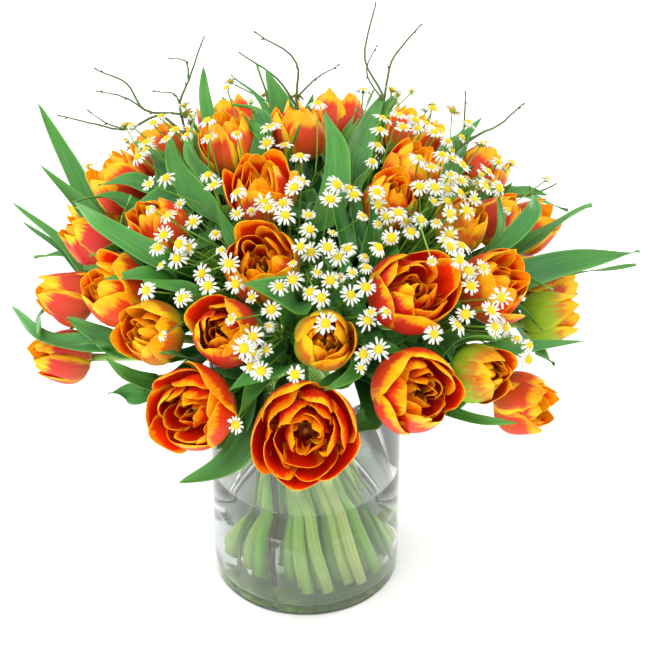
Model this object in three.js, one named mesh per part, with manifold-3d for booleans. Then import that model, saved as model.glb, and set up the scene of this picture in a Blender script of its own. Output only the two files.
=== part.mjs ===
// Tulips in a vase: forty double tulips with their leaves, five sprays of small daisies and two
// bunches of bare twigs, tied as a spiral bouquet and stood in water in a clear glass cylinder.
// Millimetres, +Z up. The origin is the centre of the vase's foot, and the front faces -Y.

import * as THREE from 'three';
import { mergeVertices } from 'three/addons/utils/BufferGeometryUtils.js';
import Module from 'manifold-3d';

const wasm = await Module();
wasm.setup();

// ---------------------------------------------------------------- driving dimensions

const VASE = { radius: 75, height: 200, wall: 4.3, floor: 8, footBevel: 3, sides: 32 };
const WATER_LEVEL = 100;
const GAP = 0.3; // what touching pieces keep between them

// The bloom centres lie on this dome, and every bloom faces away from the focus.
const DOME = { z: 250, across: 190, up: 125 };
const FOCUS = new THREE.Vector3(0, 0, 190);

// The bunch of stems: a close-packed waist under the tie, spread by a spiral down to the cut ends.
const WAIST = { z: 186, pitch: 8.3, touch: 5.8, ring: 19, x: -8 };
const FEET = { z: 13, x: 3, turn: 1.66 };
const LEAN = 50; // degrees from a bloom's side of the dome to its stem's side of the waist

const STEM = { radius: 3.7, neck: 3.1, sides: 5, steps: 3 };
const SPRAY = { radius: 1.7, stalk: 0.9, ray: 8.5, notch: 5, rays: 5, disc: 3, reach: 1.09, steps: 4 };
const TWIG = { line: 1.2, tip: 0.8 };
const STRAND_SIDES = 3; // of everything thinner than a tulip stem
const TIE = { bore: 34.8, thick: 1.6, height: 9, sides: 12 };
const LEAF = {
  thick: 2, rootDepth: 0.62, shoulder: 0.84, overRim: 6, rimRoom: 5, clear: 0.4,
  shares: [0.24, 0.72, 1],
};
const PETAL = { thick: 2.2, count: 5, split: 0.94, large: 56 };
const PETAL_ROWS = { large: [[0.45, 1], [0.84, 0.8]], plain: [[0.62, 1]] };
const STEM_GROUPS = 8;
const BLOOM_ROOM = 0.54; // what leaves, stalks and stems keep from a bloom's middle, in diameters
const BLOOM_SPACE = 2.5; // what two blooms keep between their round outlines
const RIM_ROOM = 2; // what keeps between a stem or leaf and the vase's rim
const ROUNDS = { blooms: 90, strands: 90, heads: 30, leaves: 40 };
const SEED = 17;

// Blooms: azimuth (-90 is the front), angle from the dome's top, diameter, openness from 0 to 1.
const BLOOMS = [
  [-90, 80, 72, 1.0], [-115, 76, 62, 0.75], [-112, 54, 52, 0.45], [-132, 60, 48, 0.4],
  [-150, 57, 52, 0.5], [-169, 74, 46, 0.15], [-166, 96, 44, 0.1], [-178, 58, 44, 0.15],
  [158, 53, 48, 0.4], [-160, 37, 45, 0.3], [-138, 13, 52, 0.6], [-107, 34, 57, 0.55],
  [-85, 53, 46, 0.35], [-56, 45, 62, 0.7], [-64, 72, 64, 0.6], [-30, 56, 54, 0.6],
  [-47, 75, 46, 0.1], [-28, 104, 50, 0.6], [-11, 84, 44, 0.0], [-2, 50, 44, 0.2],
  [14, 70, 44, 0.3], [6, 88, 42, 0.15], [8, 25, 44, 0.5], [-30, 22, 42, 0.4],
  [136, 22, 50, 0.5], [98, 17, 48, 0.6], [77, 42, 46, 0.5], [50, 44, 46, 0.5],
  [31, 58, 46, 0.4], [-16, 40, 44, 0.25], [138, 53, 46, 0.4], [62, 64, 48, 0.5],
  [116, 44, 48, 0.5], [96, 64, 50, 0.6], [80, 84, 50, 0.5], [122, 74, 52, 0.7],
  [150, 80, 48, 0.3], [103, 94, 52, 0.6], [50, 90, 50, 0.8], [28, 88, 46, 0.3],
];

// Leaves: tip as azimuth, angle from the top and reach in domes; the azimuth and angle where the
// leaf comes out from among the blooms; width.
const LEAVES = [
  [150, 55, 1.53, 158, 64, 25], [158, 62, 1.31, 160, 66, 20], [166, 69, 1.3, -176, 66, 14],
  [168, 72, 1.22, 178, 80, 13], [-176, 86, 1.17, -149, 77, 22], [179, 52, 1.12, -144, 46, 24],
  [174, 54, 1.14, 173, 47, 18], [144, 37, 1.12, -150, 24, 27], [117, 43, 1.34, 120, 45, 16],
  [111, 42, 1.26, 112, 43, 13], [103, 41, 1.3, 103, 42, 16], [75, 17, 1.14, -85, 20, 32],
  [66, 43, 1.16, 26, 17, 26], [61, 44, 1.21, 70, 43, 18], [54, 19, 1.12, 69, 15, 18],
  [41, 51, 1.16, 10, 34, 22], [40, 51, 1.23, 38, 53, 16], [9, 48, 1.12, 14, 58, 15],
  [18, 66, 1.12, 18, 68, 14], [13, 69, 1.28, 2, 67, 26], [3, 77, 1.38, -14, 78, 30],
  [1, 79, 1.35, -1, 86, 20], [-16, 87, 1.14, -34, 80, 16], [-46, 88, 1.14, -52, 84, 15],
  [-115, 98, 1.12, -102, 88, 30], [-106, 66, 1.1, -95, 62, 27], [-104, 74, 1.08, -101, 70, 18],
  [-136, 68, 1.12, -130, 82, 18], [-145, 70, 1.12, -148, 80, 16], [-147, 52, 1.14, -138, 46, 18],
  [-137, 47, 1.12, -124, 56, 22], [-108, 40, 1.12, -92, 52, 38], [-123, 61, 1.12, -121, 69, 15],
  [-43, 65, 1.1, -56, 66, 28], [148, 46, 1.12, 172, 38, 23], [132, 19, 1.14, 131, 16, 15],
  [-4, 41, 1.14, -29, 46, 16], [-63, 12, 1.12, -66, 30, 22], [-48, 18, 1.14, -58, 32, 20],
  [-86, 64, 1.12, -70, 66, 17], [24, 80, 1.22, 38, 74, 26], [64, 78, 1.26, 66, 74, 28],
  [72, 54, 1.2, 76, 62, 24], [90, 80, 1.24, 90, 76, 28], [110, 58, 1.2, 106, 56, 26],
  [114, 86, 1.26, 112, 84, 28], [138, 86, 1.22, 136, 70, 26], [164, 88, 1.16, 160, 84, 22],
  [86, 28, 1.16, 88, 32, 22],
];

// Daisy heads, spray by spray: azimuth and angle from the dome's top.
const SPRAYS = [
  [[-98, 34], [-88, 31], [-74, 31], [-67, 38], [-78, 56], [-99, 45], [-99, 55], [-104, 75]],
  [[-93, 12], [-118, 22], [-109, 6], [-137, 30], [-127, 30], [-132, 39], [-124, 47],
    [-152, 30]],
  [[-42, 46], [-50, 53], [-44, 62], [-60, 57], [-36, 37], [-44, 29], [-23, 33], [-14, 31]],
  [[130, 40], [144, 35], [158, 20], [112, 34], [87, 14], [-166, 8], [120, 60], [104, 78]],
  [[48, 25], [52, 40], [36, 32], [12, 16], [14, 32], [22, 50], [-57, 18], [44, 68]],
];

// Twigs, bunch by bunch. A line's points are azimuth, angle and reach; a side shoot starts at the
// point of the line that its first number counts.
const TWIGS = [
  [
    { line: [[135, 50, 1.05], [135, 49, 1.23], [135, 48, 1.39], [138, 49, 1.52]],
      sides: [[1, 141, 50, 1.42]] },
    { line: [[138, 51, 1.03], [142, 52, 1.19], [146, 53, 1.29], [149, 55, 1.42]],
      sides: [[1, 147, 50, 1.36]] },
    { line: [[126, 46, 1.17], [122, 44, 1.29], [115, 41, 1.49]],
      sides: [[0, 131, 46, 1.29], [1, 125, 42, 1.43]] },
  ],
  [
    { line: [[86, 40, 1.12], [92, 40, 1.29], [102, 40, 1.47]], sides: [[0, 80, 40, 1.28]] },
    { line: [[90, 43, 1.04], [98, 42, 1.21], [107, 41, 1.37]], sides: [] },
    { line: [[72, 41, 1.09], [73, 41, 1.33], [73, 39, 1.64]], sides: [[0, 71, 41, 1.41]] },
    { line: [[68, 42, 1.11], [66, 42, 1.35], [62, 41, 1.57]], sides: [] },
    { line: [[45, 50, 1.11], [47, 49, 1.3]], sides: [] },
    { line: [[34, 53, 1.1], [36, 53, 1.25], [35, 52, 1.39]], sides: [] },
    { line: [[20, 64, 1.08], [19, 64, 1.2]], sides: [] },
  ],
];

const COLOURS = {
  petal: '#e0521b', petalYellow: '#ee9a26', leaf: '#3c7a44', daisy: '#f3f1e6', twig: '#54493a',
  glass: '#dcebe6', water: '#d5e6e0', tie: '#b99f6b',
};

// ---------------------------------------------------------------- small mathematics

const radians = THREE.MathUtils.degToRad;
const mix = THREE.MathUtils.lerp;
const UP = new THREE.Vector3(0, 0, 1);
const vec = (x, y, z) => new THREE.Vector3(x, y, z);
const between = (a, b, share) => a.clone().lerp(b, share);

// A repeatable draw from 0 to 1 for the pair of numbers.
function draw(a, b) {
  const value = Math.sin(a * 12.9898 + b * 78.233 + SEED) * 43758.5453;
  return value - Math.floor(value);
}

function domePoint(azimuth, angle, reach = 1) {
  const a = radians(azimuth);
  const p = radians(angle);
  const out = DOME.across * reach * Math.sin(p);
  return vec(out * Math.cos(a), out * Math.sin(a), DOME.z + DOME.up * reach * Math.cos(p));
}

function bezier(p0, p1, p2, p3, t) {
  const s = 1 - t;
  return p0.clone().multiplyScalar(s * s * s)
    .addScaledVector(p1, 3 * s * s * t)
    .addScaledVector(p2, 3 * s * t * t)
    .addScaledVector(p3, t * t * t);
}

// Two unit vectors that make a right-handed frame with the axis, turned by an angle.
function crossAxes(axis, turn) {
  const start = Math.abs(axis.z) < 0.95 ? UP : vec(0, 1, 0);
  const x = start.clone().cross(axis).normalize();
  x.applyAxisAngle(axis, turn);
  return [x, axis.clone().cross(x)];
}

// ---------------------------------------------------------------- closed meshes

function solidOf(points, triangles) {
  const vertProperties = new Float32Array(points.flatMap((p) => [p.x, p.y, p.z]));
  const triVerts = new Uint32Array(triangles.flat());
  return new wasm.Manifold(new wasm.Mesh({ numProp: 3, vertProperties, triVerts }));
}

function solidOfGeometry(geometry) {
  geometry.deleteAttribute('normal');
  geometry.deleteAttribute('uv');
  const merged = mergeVertices(geometry, 1e-4);
  const vertProperties = new Float32Array(merged.attributes.position.array);
  const triVerts = new Uint32Array(merged.index.array);
  return new wasm.Manifold(new wasm.Mesh({ numProp: 3, vertProperties, triVerts }));
}

function fuse(solids) {
  return solids.reduce((sum, solid) => sum.add(solid));
}

// The largest piece alone: loose scraps are dropped and sealed hollows are filled.
function wholePiece(solid) {
  return solid.decompose().reduce((a, b) => (b.volume() > a.volume() ? b : a));
}

// Points of a tube's rings, each a list, with the last ring's two cross axes.
function tubeRings(path, radii, sides, endAxis) {
  const normal = vec(1, 0, 0);
  let binormal;
  const rings = path.map((centre, i) => {
    const ahead = path[Math.min(i + 1, path.length - 1)];
    const behind = path[Math.max(i - 1, 0)];
    const squared = endAxis && i === path.length - 1;
    const tangent = squared ? endAxis : ahead.clone().sub(behind).normalize();
    normal.addScaledVector(tangent, -normal.dot(tangent)).normalize();
    binormal = tangent.clone().cross(normal);
    return circle(centre, normal, binormal, sides, () => radii[i]);
  });
  return { rings, normal, binormal };
}

function circle(centre, x, y, corners, radiusOf) {
  return [...Array(corners)].map((_, k) => {
    const angle = (2 * Math.PI * k) / corners;
    return centre.clone()
      .addScaledVector(x, radiusOf(k) * Math.cos(angle))
      .addScaledVector(y, radiusOf(k) * Math.sin(angle));
  });
}

// The side faces between rings of points that were added one after another.
function sideFaces(count, sides) {
  const faces = [];
  for (let i = 0; i + 1 < count; i += 1) {
    for (let k = 0; k < sides; k += 1) {
      const a = i * sides + k;
      const b = i * sides + ((k + 1) % sides);
      faces.push([a, b, b + sides], [a, b + sides, a + sides]);
    }
  }
  return faces;
}

// A tube with flat ends, its first corner towards +X and its last end square to its own axis.
function tube(path, radii, sides, endAxis) {
  const { rings } = tubeRings(path, radii, sides, endAxis);
  const faces = sideFaces(path.length, sides);
  const end = (path.length - 1) * sides;
  for (let k = 1; k + 1 < sides; k += 1) {
    faces.push([0, k + 1, k], [end, end + k, end + k + 1]);
  }
  return solidOf(rings.flat(), faces);
}

// A thin blade: rows of a left edge, a middle and a right edge, thick in the middle and sharp at
// the edges, closed by a tip and by a base point or, without one, by a flat end.
function blade(rows, tip, base) {
  const points = [];
  const faces = [];
  for (const { left, middle, right, lift } of rows) {
    points.push(left, middle.clone().add(lift), right, middle.clone().sub(lift));
  }
  const both = (a, b, c) => {
    const under = (k) => (k % 4 === 1 && k < 4 * rows.length ? k + 2 : k);
    faces.push([a, b, c], [under(a), under(c), under(b)]);
  };
  for (let i = 0; i + 1 < rows.length; i += 1) {
    const [l, m, r] = [4 * i, 4 * i + 1, 4 * i + 2];
    both(l, m, m + 4);
    both(l, m + 4, l + 4);
    both(m, r, r + 4);
    both(m, r + 4, m + 4);
  }
  const last = 4 * (rows.length - 1);
  const tipIndex = points.push(tip) - 1;
  both(last, last + 1, tipIndex);
  both(last + 1, last + 2, tipIndex);
  if (base) {
    const baseIndex = points.push(base) - 1;
    both(baseIndex, 1, 0);
    both(baseIndex, 2, 1);
  } else {
    faces.push([0, 3, 1], [2, 1, 3]);
  }
  return solidOf(points, faces);
}

// ---------------------------------------------------------------- where everything lies

// Blooms that would press into each other are eased apart. A bloom's tail is the low end of the
// line, up to its centre, that others keep their room from: an open bloom is shallow.
function layBlooms() {
  const GAIN = 0.35;
  const blooms = BLOOMS.map(([azimuth, angle, size, open], i) => (
    { id: i, centre: domePoint(azimuth, angle), azimuth, angle, size, open }));
  for (let round = 0; round < ROUNDS.blooms; round += 1) {
    const moves = blooms.map(() => vec(0, 0, 0));
    blooms.forEach((a, i) => blooms.slice(i + 1).forEach((b, k) => {
      const apart = a.centre.clone().sub(b.centre);
      const short = (a.size + b.size) / 2 + BLOOM_SPACE - apart.length();
      if (short > 0) {
        apart.normalize();
        moves[i].addScaledVector(apart, short * GAIN);
        moves[i + 1 + k].addScaledVector(apart, -short * GAIN);
      }
    }));
    blooms.forEach((bloom, i) => bloom.centre.add(moves[i]));
  }
  for (const bloom of blooms) {
    bloom.axis = bloom.centre.clone().sub(FOCUS).normalize();
    bloom.height = bloom.size * mix(1.08, 0.74, bloom.open);
    bloom.base = bloom.centre.clone().addScaledVector(bloom.axis, -bloom.height / 2);
    bloom.tail = between(bloom.base, bloom.centre, bloom.open > 0.5 ? 0.8 : 0.5);
    bloom.turn = 2 * Math.PI * draw(bloom.id, 1);
  }
  return blooms;
}

// Close-packed places in the waist, nearest to its middle first.
function waistPlaces(count) {
  const FAR = 5;
  const places = [];
  for (let row = -FAR; row <= FAR; row += 1) {
    for (let column = -FAR; column <= FAR; column += 1) {
      const x = WAIST.pitch * (column + (row % 2 ? 0.5 : 0));
      places.push([x, WAIST.pitch * row * Math.sqrt(0.75)]);
    }
  }
  places.sort((a, b) => Math.hypot(...a) - Math.hypot(...b));
  return places.slice(0, count);
}

// The bunch's sectors: one in the middle and the rest round it.
function sectorOf(place) {
  const round = STEM_GROUPS - 1;
  const seeds = [[0, 0]];
  for (let k = 0; k < round; k += 1) {
    const angle = (2 * Math.PI * k) / round;
    seeds.push([WAIST.ring * Math.cos(angle), WAIST.ring * Math.sin(angle)]);
  }
  const far = seeds.map(([x, y]) => Math.hypot(place[0] - x, place[1] - y));
  return far.indexOf(Math.min(...far));
}

// Each stem takes the free place in the waist nearest to its own side: thin ones at the edge of
// the bunch first, then the tulips, outermost bloom first.
function dealPlaces(wishes) {
  const free = waistPlaces(wishes.length);
  const edge = Math.hypot(...free[free.length - 1]);
  const rank = ({ thin, angle }) => (thin ? 1000 : 0) + angle;
  const order = wishes.map((_, i) => i).sort((a, b) => rank(wishes[b]) - rank(wishes[a]) || a - b);
  for (const i of order) {
    const { azimuth, angle, thin } = wishes[i];
    const side = radians(azimuth + LEAN);
    const out = edge * (thin ? 1.2 : Math.min(1, angle / 80));
    const [wishX, wishY] = [out * Math.cos(side), out * Math.sin(side)];
    const far = free.map(([x, y]) => Math.hypot(x - wishX, y - wishY));
    const best = far.indexOf(Math.min(...far));
    wishes[i].place = free.splice(best, 1)[0];
  }
}

// Tulip stems of one sector are pressed against each other, from its middle outwards.
function pressSectors(stems) {
  const apart = (a, b) => Math.hypot(a.place[0] - b.place[0], a.place[1] - b.place[1]);
  for (let sector = 0; sector < STEM_GROUPS; sector += 1) {
    const own = stems.filter((stem) => stem.sector === sector);
    const mean = [0, 1].map((k) => own.reduce((sum, stem) => sum + stem.place[k], 0) / own.length);
    own.sort((a, b) => apart(a, { place: mean }) - apart(b, { place: mean }));
    const joined = [own.shift()];
    while (own.length) {
      let best = { far: Infinity };
      for (const stem of own) {
        for (const mate of joined) {
          if (apart(stem, mate) < best.far - 1e-6) best = { far: apart(stem, mate), stem, mate };
        }
      }
      const share = WAIST.touch / best.far;
      const { stem, mate } = best;
      stem.place = [0, 1].map((k) => mix(mate.place[k], stem.place[k], Math.min(1, share)));
      joined.push(own.splice(own.indexOf(stem), 1)[0]);
    }
  }
}

// Cut end and waist of a stem: below the waist every stem is straight, and all lean one way round.
function lowerPoints([x, y]) {
  const foot = vec(FEET.x + x - FEET.turn * y, y + FEET.turn * x, FEET.z);
  return [foot, vec(WAIST.x + x, y, WAIST.z)];
}

// From the waist on, a stem carries its lean on and then bends to meet its bloom squarely.
function upperPoints(foot, waist, end, endAxis, steps) {
  const start = waist.clone().sub(foot).normalize();
  const span = end.distanceTo(waist);
  const first = waist.clone().addScaledVector(start, span * 0.32);
  const second = end.clone().addScaledVector(endAxis, -span * 0.34);
  const points = [];
  for (let k = 1; k <= steps; k += 1) points.push(bezier(waist, first, second, end, k / steps));
  return points;
}

// The places along two segments that are nearest to each other.
function nearest(p1, q1, p2, q2) {
  const d1 = q1.clone().sub(p1);
  const d2 = q2.clone().sub(p2);
  const r = p1.clone().sub(p2);
  const a = d1.lengthSq();
  const e = d2.lengthSq();
  const f = d2.dot(r);
  const c = d1.dot(r);
  const b = d1.dot(d2);
  const clamp = (x) => Math.min(1, Math.max(0, x));
  const det = a * e - b * b;
  let s = det > 1e-9 ? clamp((b * f - c * e) / det) : 0;
  const t = clamp((b * s + f) / e);
  s = clamp((b * t - c) / a);
  const apart = p1.clone().addScaledVector(d1, s).sub(p2.clone().addScaledVector(d2, t));
  return { s, t, apart };
}

// Strands that would run through each other, through a bloom or through the rim are bent clear.
// A strand has points, a radius, an owner, the index of its first free point and a bloom or null.
function bendClear(moving, still, blooms) {
  const GAIN = 0.6;
  const strands = [...moving, ...still];
  const segmentsOf = (strand) => strand.points.slice(1).map((_, i) => ({ strand, i }));
  const segments = strands.flatMap(segmentsOf);
  const isLow = ({ strand, i }) => i + 1 < strand.free;
  const room = (a, b) => a.radius + b.radius + 2 * GAP;
  for (let round = 0; round < ROUNDS.strands; round += 1) {
    const moves = new Map(strands.map((s) => [s, s.points.map(() => vec(0, 0, 0))]));
    const push = ({ strand, i }, share, by, amount) => {
      moves.get(strand)[i].addScaledVector(by, amount * (1 - share));
      moves.get(strand)[i + 1].addScaledVector(by, amount * share);
    };
    segments.forEach((a, m) => {
      const [p1, q1] = [a.strand.points[a.i], a.strand.points[a.i + 1]];
      for (let n = m + 1; n < segments.length; n += 1) {
        const b = segments[n];
        if (a.strand.owner === b.strand.owner || (isLow(a) && isLow(b))) continue;
        if (still.includes(a.strand)) continue;
        const [p2, q2] = [b.strand.points[b.i], b.strand.points[b.i + 1]];
        const reach = p1.distanceTo(q1) + p2.distanceTo(q2) + 10;
        if (p1.distanceToSquared(p2) > reach * reach) continue;
        const { s, t, apart } = nearest(p1, q1, p2, q2);
        const far = apart.length();
        const short = room(a.strand, b.strand) - far;
        if (short > 0 && far > 1e-6) {
          apart.divideScalar(far);
          push(a, s, apart, short * GAIN);
          push(b, t, apart, -short * GAIN);
        }
      }
      for (const bloom of blooms) {
        if (bloom.id === a.strand.bloom || isLow(a)) continue;
        const { s, apart } = nearest(p1, q1, bloom.tail, bloom.centre);
        const far = apart.length();
        const short = bloom.size * BLOOM_ROOM + a.strand.radius + 2 - far;
        if (short > 0 && far > 1e-6) push(a, s, apart.divideScalar(far), short * GAIN);
      }
    });
    for (const strand of moving) {
      strand.points.forEach((point, i) => {
        if (i < strand.free || i >= strand.points.length - strand.held) return;
        point.add(moves.get(strand)[i]);
        liftOverRim(point, strand.radius);
      });
    }
  }
}

function liftOverRim(point, radius) {
  const out = Math.hypot(point.x, point.y);
  const bore = VASE.radius - VASE.wall - radius - RIM_ROOM;
  if (out > bore) point.z = Math.max(point.z, VASE.height + radius + RIM_ROOM);
}

function layStems(blooms) {
  const wishes = blooms.map(({ azimuth, angle }) => ({ azimuth, angle }));
  const sprays = SPRAYS.map((heads) => ({ ...middleOf(heads), thin: true }));
  const twigs = TWIGS.map((lines) => (
    { ...middleOf(lines.map(({ line }) => line[0])), thin: true }));
  wishes.push(...sprays, ...twigs);
  dealPlaces(wishes);
  const stems = blooms.map((bloom, i) => (
    { bloom: bloom.id, place: wishes[i].place, sector: sectorOf(wishes[i].place) }));
  pressSectors(stems);
  stems.forEach((stem, i) => {
    const { base, axis } = blooms[i];
    const [foot, waist] = lowerPoints(stem.place);
    const end = base.clone().addScaledVector(axis, -GAP);
    stem.points = [foot, waist, ...upperPoints(foot, waist, end, axis, STEM.steps)];
    stem.axis = axis;
    stem.radius = STEM.radius;
    stem.owner = `stem ${stem.sector}`;
    stem.free = 2;
    stem.held = 1;
  });
  return {
    stems,
    sprayStems: sprays.map((spray, i) => mainStem(wishes[blooms.length + i], 0.66, `spray ${i}`)),
    twigStems: twigs.map((twig, i) => mainStem(
      wishes[blooms.length + sprays.length + i], 0.6, `twig ${i}`)),
  };
}

// The direction of the middle of several places on the dome.
function middleOf(rows) {
  const places = rows.map(([azimuth, angle]) => domePoint(azimuth, angle));
  const centre = places.reduce((sum, place) => sum.add(place)).divideScalar(rows.length);
  const out = Math.hypot(centre.x, centre.y) / DOME.across;
  const azimuth = THREE.MathUtils.radToDeg(Math.atan2(centre.y, centre.x));
  const angle = THREE.MathUtils.radToDeg(Math.atan2(out, (centre.z - DOME.z) / DOME.up));
  return { azimuth, angle };
}

// A spray's or twig bunch's own stem, which ends inside the dome, where it branches.
function mainStem(wish, reach, owner) {
  const [foot, waist] = lowerPoints(wish.place);
  const end = domePoint(wish.azimuth, wish.angle, reach);
  const axis = end.clone().sub(FOCUS).normalize();
  const points = [foot, waist, ...upperPoints(foot, waist, end, axis, SPRAY.steps)];
  return { points, radius: SPRAY.radius, owner, free: 2, held: 0, bloom: null };
}

// A strand's point at a share of its length, counted in its points.
function pointAlong(points, share) {
  const place = share * (points.length - 1);
  const i = Math.min(Math.floor(place), points.length - 2);
  return between(points[i], points[i + 1], place - i);
}

// Daisy heads lie just above the dome, clear of the blooms and of each other.
function layHeads(blooms) {
  const heads = SPRAYS.flatMap((rows, spray) => rows.map(([azimuth, angle], k) => (
    { spray, k, centre: domePoint(azimuth, angle, SPRAY.reach + 0.04 * draw(azimuth, angle)) })));
  for (let round = 0; round < ROUNDS.heads; round += 1) {
    for (const head of heads) {
      for (const bloom of blooms) {
        const { apart } = nearest(head.centre, bumped(head.centre), bloom.tail, bloom.centre);
        const short = bloom.size * BLOOM_ROOM + SPRAY.ray + 0.5 - apart.length();
        if (short > 0) head.centre.addScaledVector(apart.normalize(), short * 0.5);
      }
      for (const other of heads) {
        const apart = head.centre.clone().sub(other.centre);
        const short = 2 * SPRAY.ray + 1 - apart.length();
        if (other !== head && short > 0) head.centre.addScaledVector(apart.normalize(), short * 0.4);
      }
    }
  }
  return heads;
}

const bumped = (point) => point.clone().addScalar(0.01);

function layStalks(sprayStems, heads) {
  return heads.map(({ spray, k, centre }) => {
    const stem = sprayStems[spray];
    const start = pointAlong(stem.points, mix(0.7, 0.98, k / SPRAYS[spray].length));
    const axis = centre.clone().sub(FOCUS).normalize();
    const knee = between(start, centre, 0.62).addScaledVector(axis, -0.12 * start.distanceTo(centre));
    return { points: [start, knee, centre], radius: SPRAY.stalk, owner: `spray ${spray}`, free: 1,
      held: 1, bloom: null };
  });
}

function layTwigs(twigStems) {
  return TWIGS.flatMap((lines, bunch) => lines.flatMap(({ line, sides }, k) => {
    const start = pointAlong(twigStems[bunch].points, mix(0.62, 0.98, k / lines.length));
    const outer = line.map((place) => domePoint(...place));
    const points = [start, ...outer];
    const owner = `twig ${bunch}`;
    const shoots = sides.map(([from, ...place]) => {
      const tip = domePoint(...place);
      const root = outer[from];
      const knee = between(root, tip, 0.5).lerp(outer[from + 1], 0.25);
      return { points: [root, knee, tip], radius: TWIG.tip, owner, free: 3, held: 0, bloom: null };
    });
    const held = line.length - 1;
    return [{ points, radius: TWIG.line, owner, free: 1, held, bloom: null }, ...shoots];
  }));
}

// ---------------------------------------------------------------- blooms

// A quadratic curve, as distance out and height, from the heart to the belly and the petal's tip.
function petalCurve(bloom, layer) {
  const { size, open, height } = bloom;
  const inner = layer === 1;
  const scale = inner ? 0.66 : 1;
  const start = inner ? [0.12 * size, 0.34 * height] : [0.15 * size, 0.12 * height];
  const belly = [scale * size * mix(0.86, 0.66, open), height * mix(0.16, inner ? 0.3 : 0.05, open)];
  const tip = [scale * size * mix(0.22, inner ? 0.4 : 0.5, open), height * (inner ? 0.92 : 1)];
  return (s) => [0, 1].map((k) => (
    (1 - s) ** 2 * start[k] + 2 * s * (1 - s) * belly[k] + s * s * tip[k]));
}

// A bloom is one closed mesh. Its heart is a stack of five-cornered rings, and each layer of
// petals grows out of the four-cornered openings between the rings.
function bloomSolid(bloom) {
  const { size, height } = bloom;
  const count = PETAL.count;
  const axes = crossAxes(bloom.axis, bloom.turn);
  const points = [];
  const faces = [];
  const add = (out, up, turn) => points.push(bloom.base.clone()
    .addScaledVector(axes[0], out * Math.cos(turn))
    .addScaledVector(axes[1], out * Math.sin(turn))
    .addScaledVector(bloom.axis, up)) - 1;
  const ring = (out, up, shift) => [...Array(count)].map((_, k) => (
    add(out, up * height, (2 * Math.PI * (k + shift)) / count)));
  const foot = ring(3.3, 0, 0.5);
  const low = ring(0.13 * size, 0.05, 0);
  const side = ring(0.17 * size, 0.12, 0.5);
  const waist = ring(0.14 * size, 0.22, 0);
  const high = ring(0.15 * size, 0.3, 0.5);
  const crown = ring(0.09 * size, 0.42, 0.5);
  const top = add(0, 0.5 * height, 0);

  for (let k = 1; k + 1 < count; k += 1) faces.push([foot[0], foot[k + 1], foot[k]]);
  for (let k = 0; k < count; k += 1) {
    const before = (k + count - 1) % count;
    const after = (k + 1) % count;
    faces.push([foot[before], foot[k], low[k]], [foot[before], low[k], side[before]]);
    faces.push([foot[k], side[k], low[k]]);
    faces.push([side[k], high[k], waist[k]], [side[k], waist[after], high[k]]);
    faces.push([crown[k], waist[after], crown[after]], [crown[k], crown[after], top]);
    growPetal({ bloom, layer: 0, turn: k, add, points, faces },
      { left: side[before], right: side[k], outer: low[k], inner: waist[k] });
    growPetal({ bloom, layer: 1, turn: k + 0.5, add, points, faces },
      { left: waist[k], right: waist[after], outer: high[k], inner: crown[k] });
  }
  return solidOf(points, faces);
}

// A petal grows from an opening in two rows of left edge, middle and right edge, then a tip.
function growPetal({ bloom, layer, turn, add, points, faces }, opening) {
  const curve = petalCurve(bloom, layer);
  const middle = (2 * Math.PI * turn) / PETAL.count;
  const half = (Math.PI / PETAL.count) * PETAL.split;
  const grow = 1 - 0.12 * draw(bloom.id * 7 + turn, layer + 3);
  let last = opening;
  const detailed = layer === 0 && bloom.size >= PETAL.large;
  for (const [s, width] of detailed ? PETAL_ROWS.large : PETAL_ROWS.plain) {
    const [out, up] = curve(s);
    const [nextOut, nextUp] = curve(s + 0.02);
    const slope = Math.hypot(nextOut - out, nextUp - up);
    const thickOut = ((nextUp - up) / slope) * PETAL.thick / 2;
    const thickUp = ((nextOut - out) / slope) * PETAL.thick / 2;
    const row = {
      left: add(out, up * grow, middle - half * width),
      right: add(out, up * grow, middle + half * width),
      outer: add(out + thickOut, up * grow - thickUp, middle),
      inner: add(out - thickOut, up * grow + thickUp, middle),
    };
    faces.push([last.left, last.outer, row.outer], [last.left, row.outer, row.left]);
    faces.push([last.outer, last.right, row.right], [last.outer, row.right, row.outer]);
    faces.push([last.left, row.inner, last.inner], [last.left, row.left, row.inner]);
    faces.push([last.inner, row.right, last.right], [last.inner, row.inner, row.right]);
    last = row;
  }
  const [out, up] = curve(1);
  const tip = add(out, up * grow, middle);
  faces.push([last.left, last.outer, tip], [last.outer, last.right, tip]);
  faces.push([last.left, tip, last.inner], [last.inner, tip, last.right]);
}

// A plain drum round a bloom, with a little clearance, which leaves are cut back to. Its levels
// are a height in bloom heights and a radius in bloom diameters.
function bloomEnvelope(bloom) {
  const LEVELS = [[-0.1, 0.4], [0.1, 0.58], [1.04, 0.6]];
  const SIDES = 7;
  return tube(
    LEVELS.map(([up]) => bloom.base.clone().addScaledVector(bloom.axis, up * bloom.height)),
    LEVELS.map(([, radius]) => radius * bloom.size + GAP),
    SIDES,
  );
}

// The same for a daisy head.
function headEnvelope({ points }) {
  const centre = points[points.length - 1];
  const axis = centre.clone().sub(points[points.length - 2]).normalize();
  const SIDES = 5;
  const radius = (SPRAY.ray + GAP) / Math.cos(Math.PI / SIDES);
  const ends = [-2 * GAP, SPRAY.disc + 2 * GAP].map((up) => centre.clone().addScaledVector(axis, up));
  return tube(ends, [radius, radius], SIDES);
}

// ---------------------------------------------------------------- leaves

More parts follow.
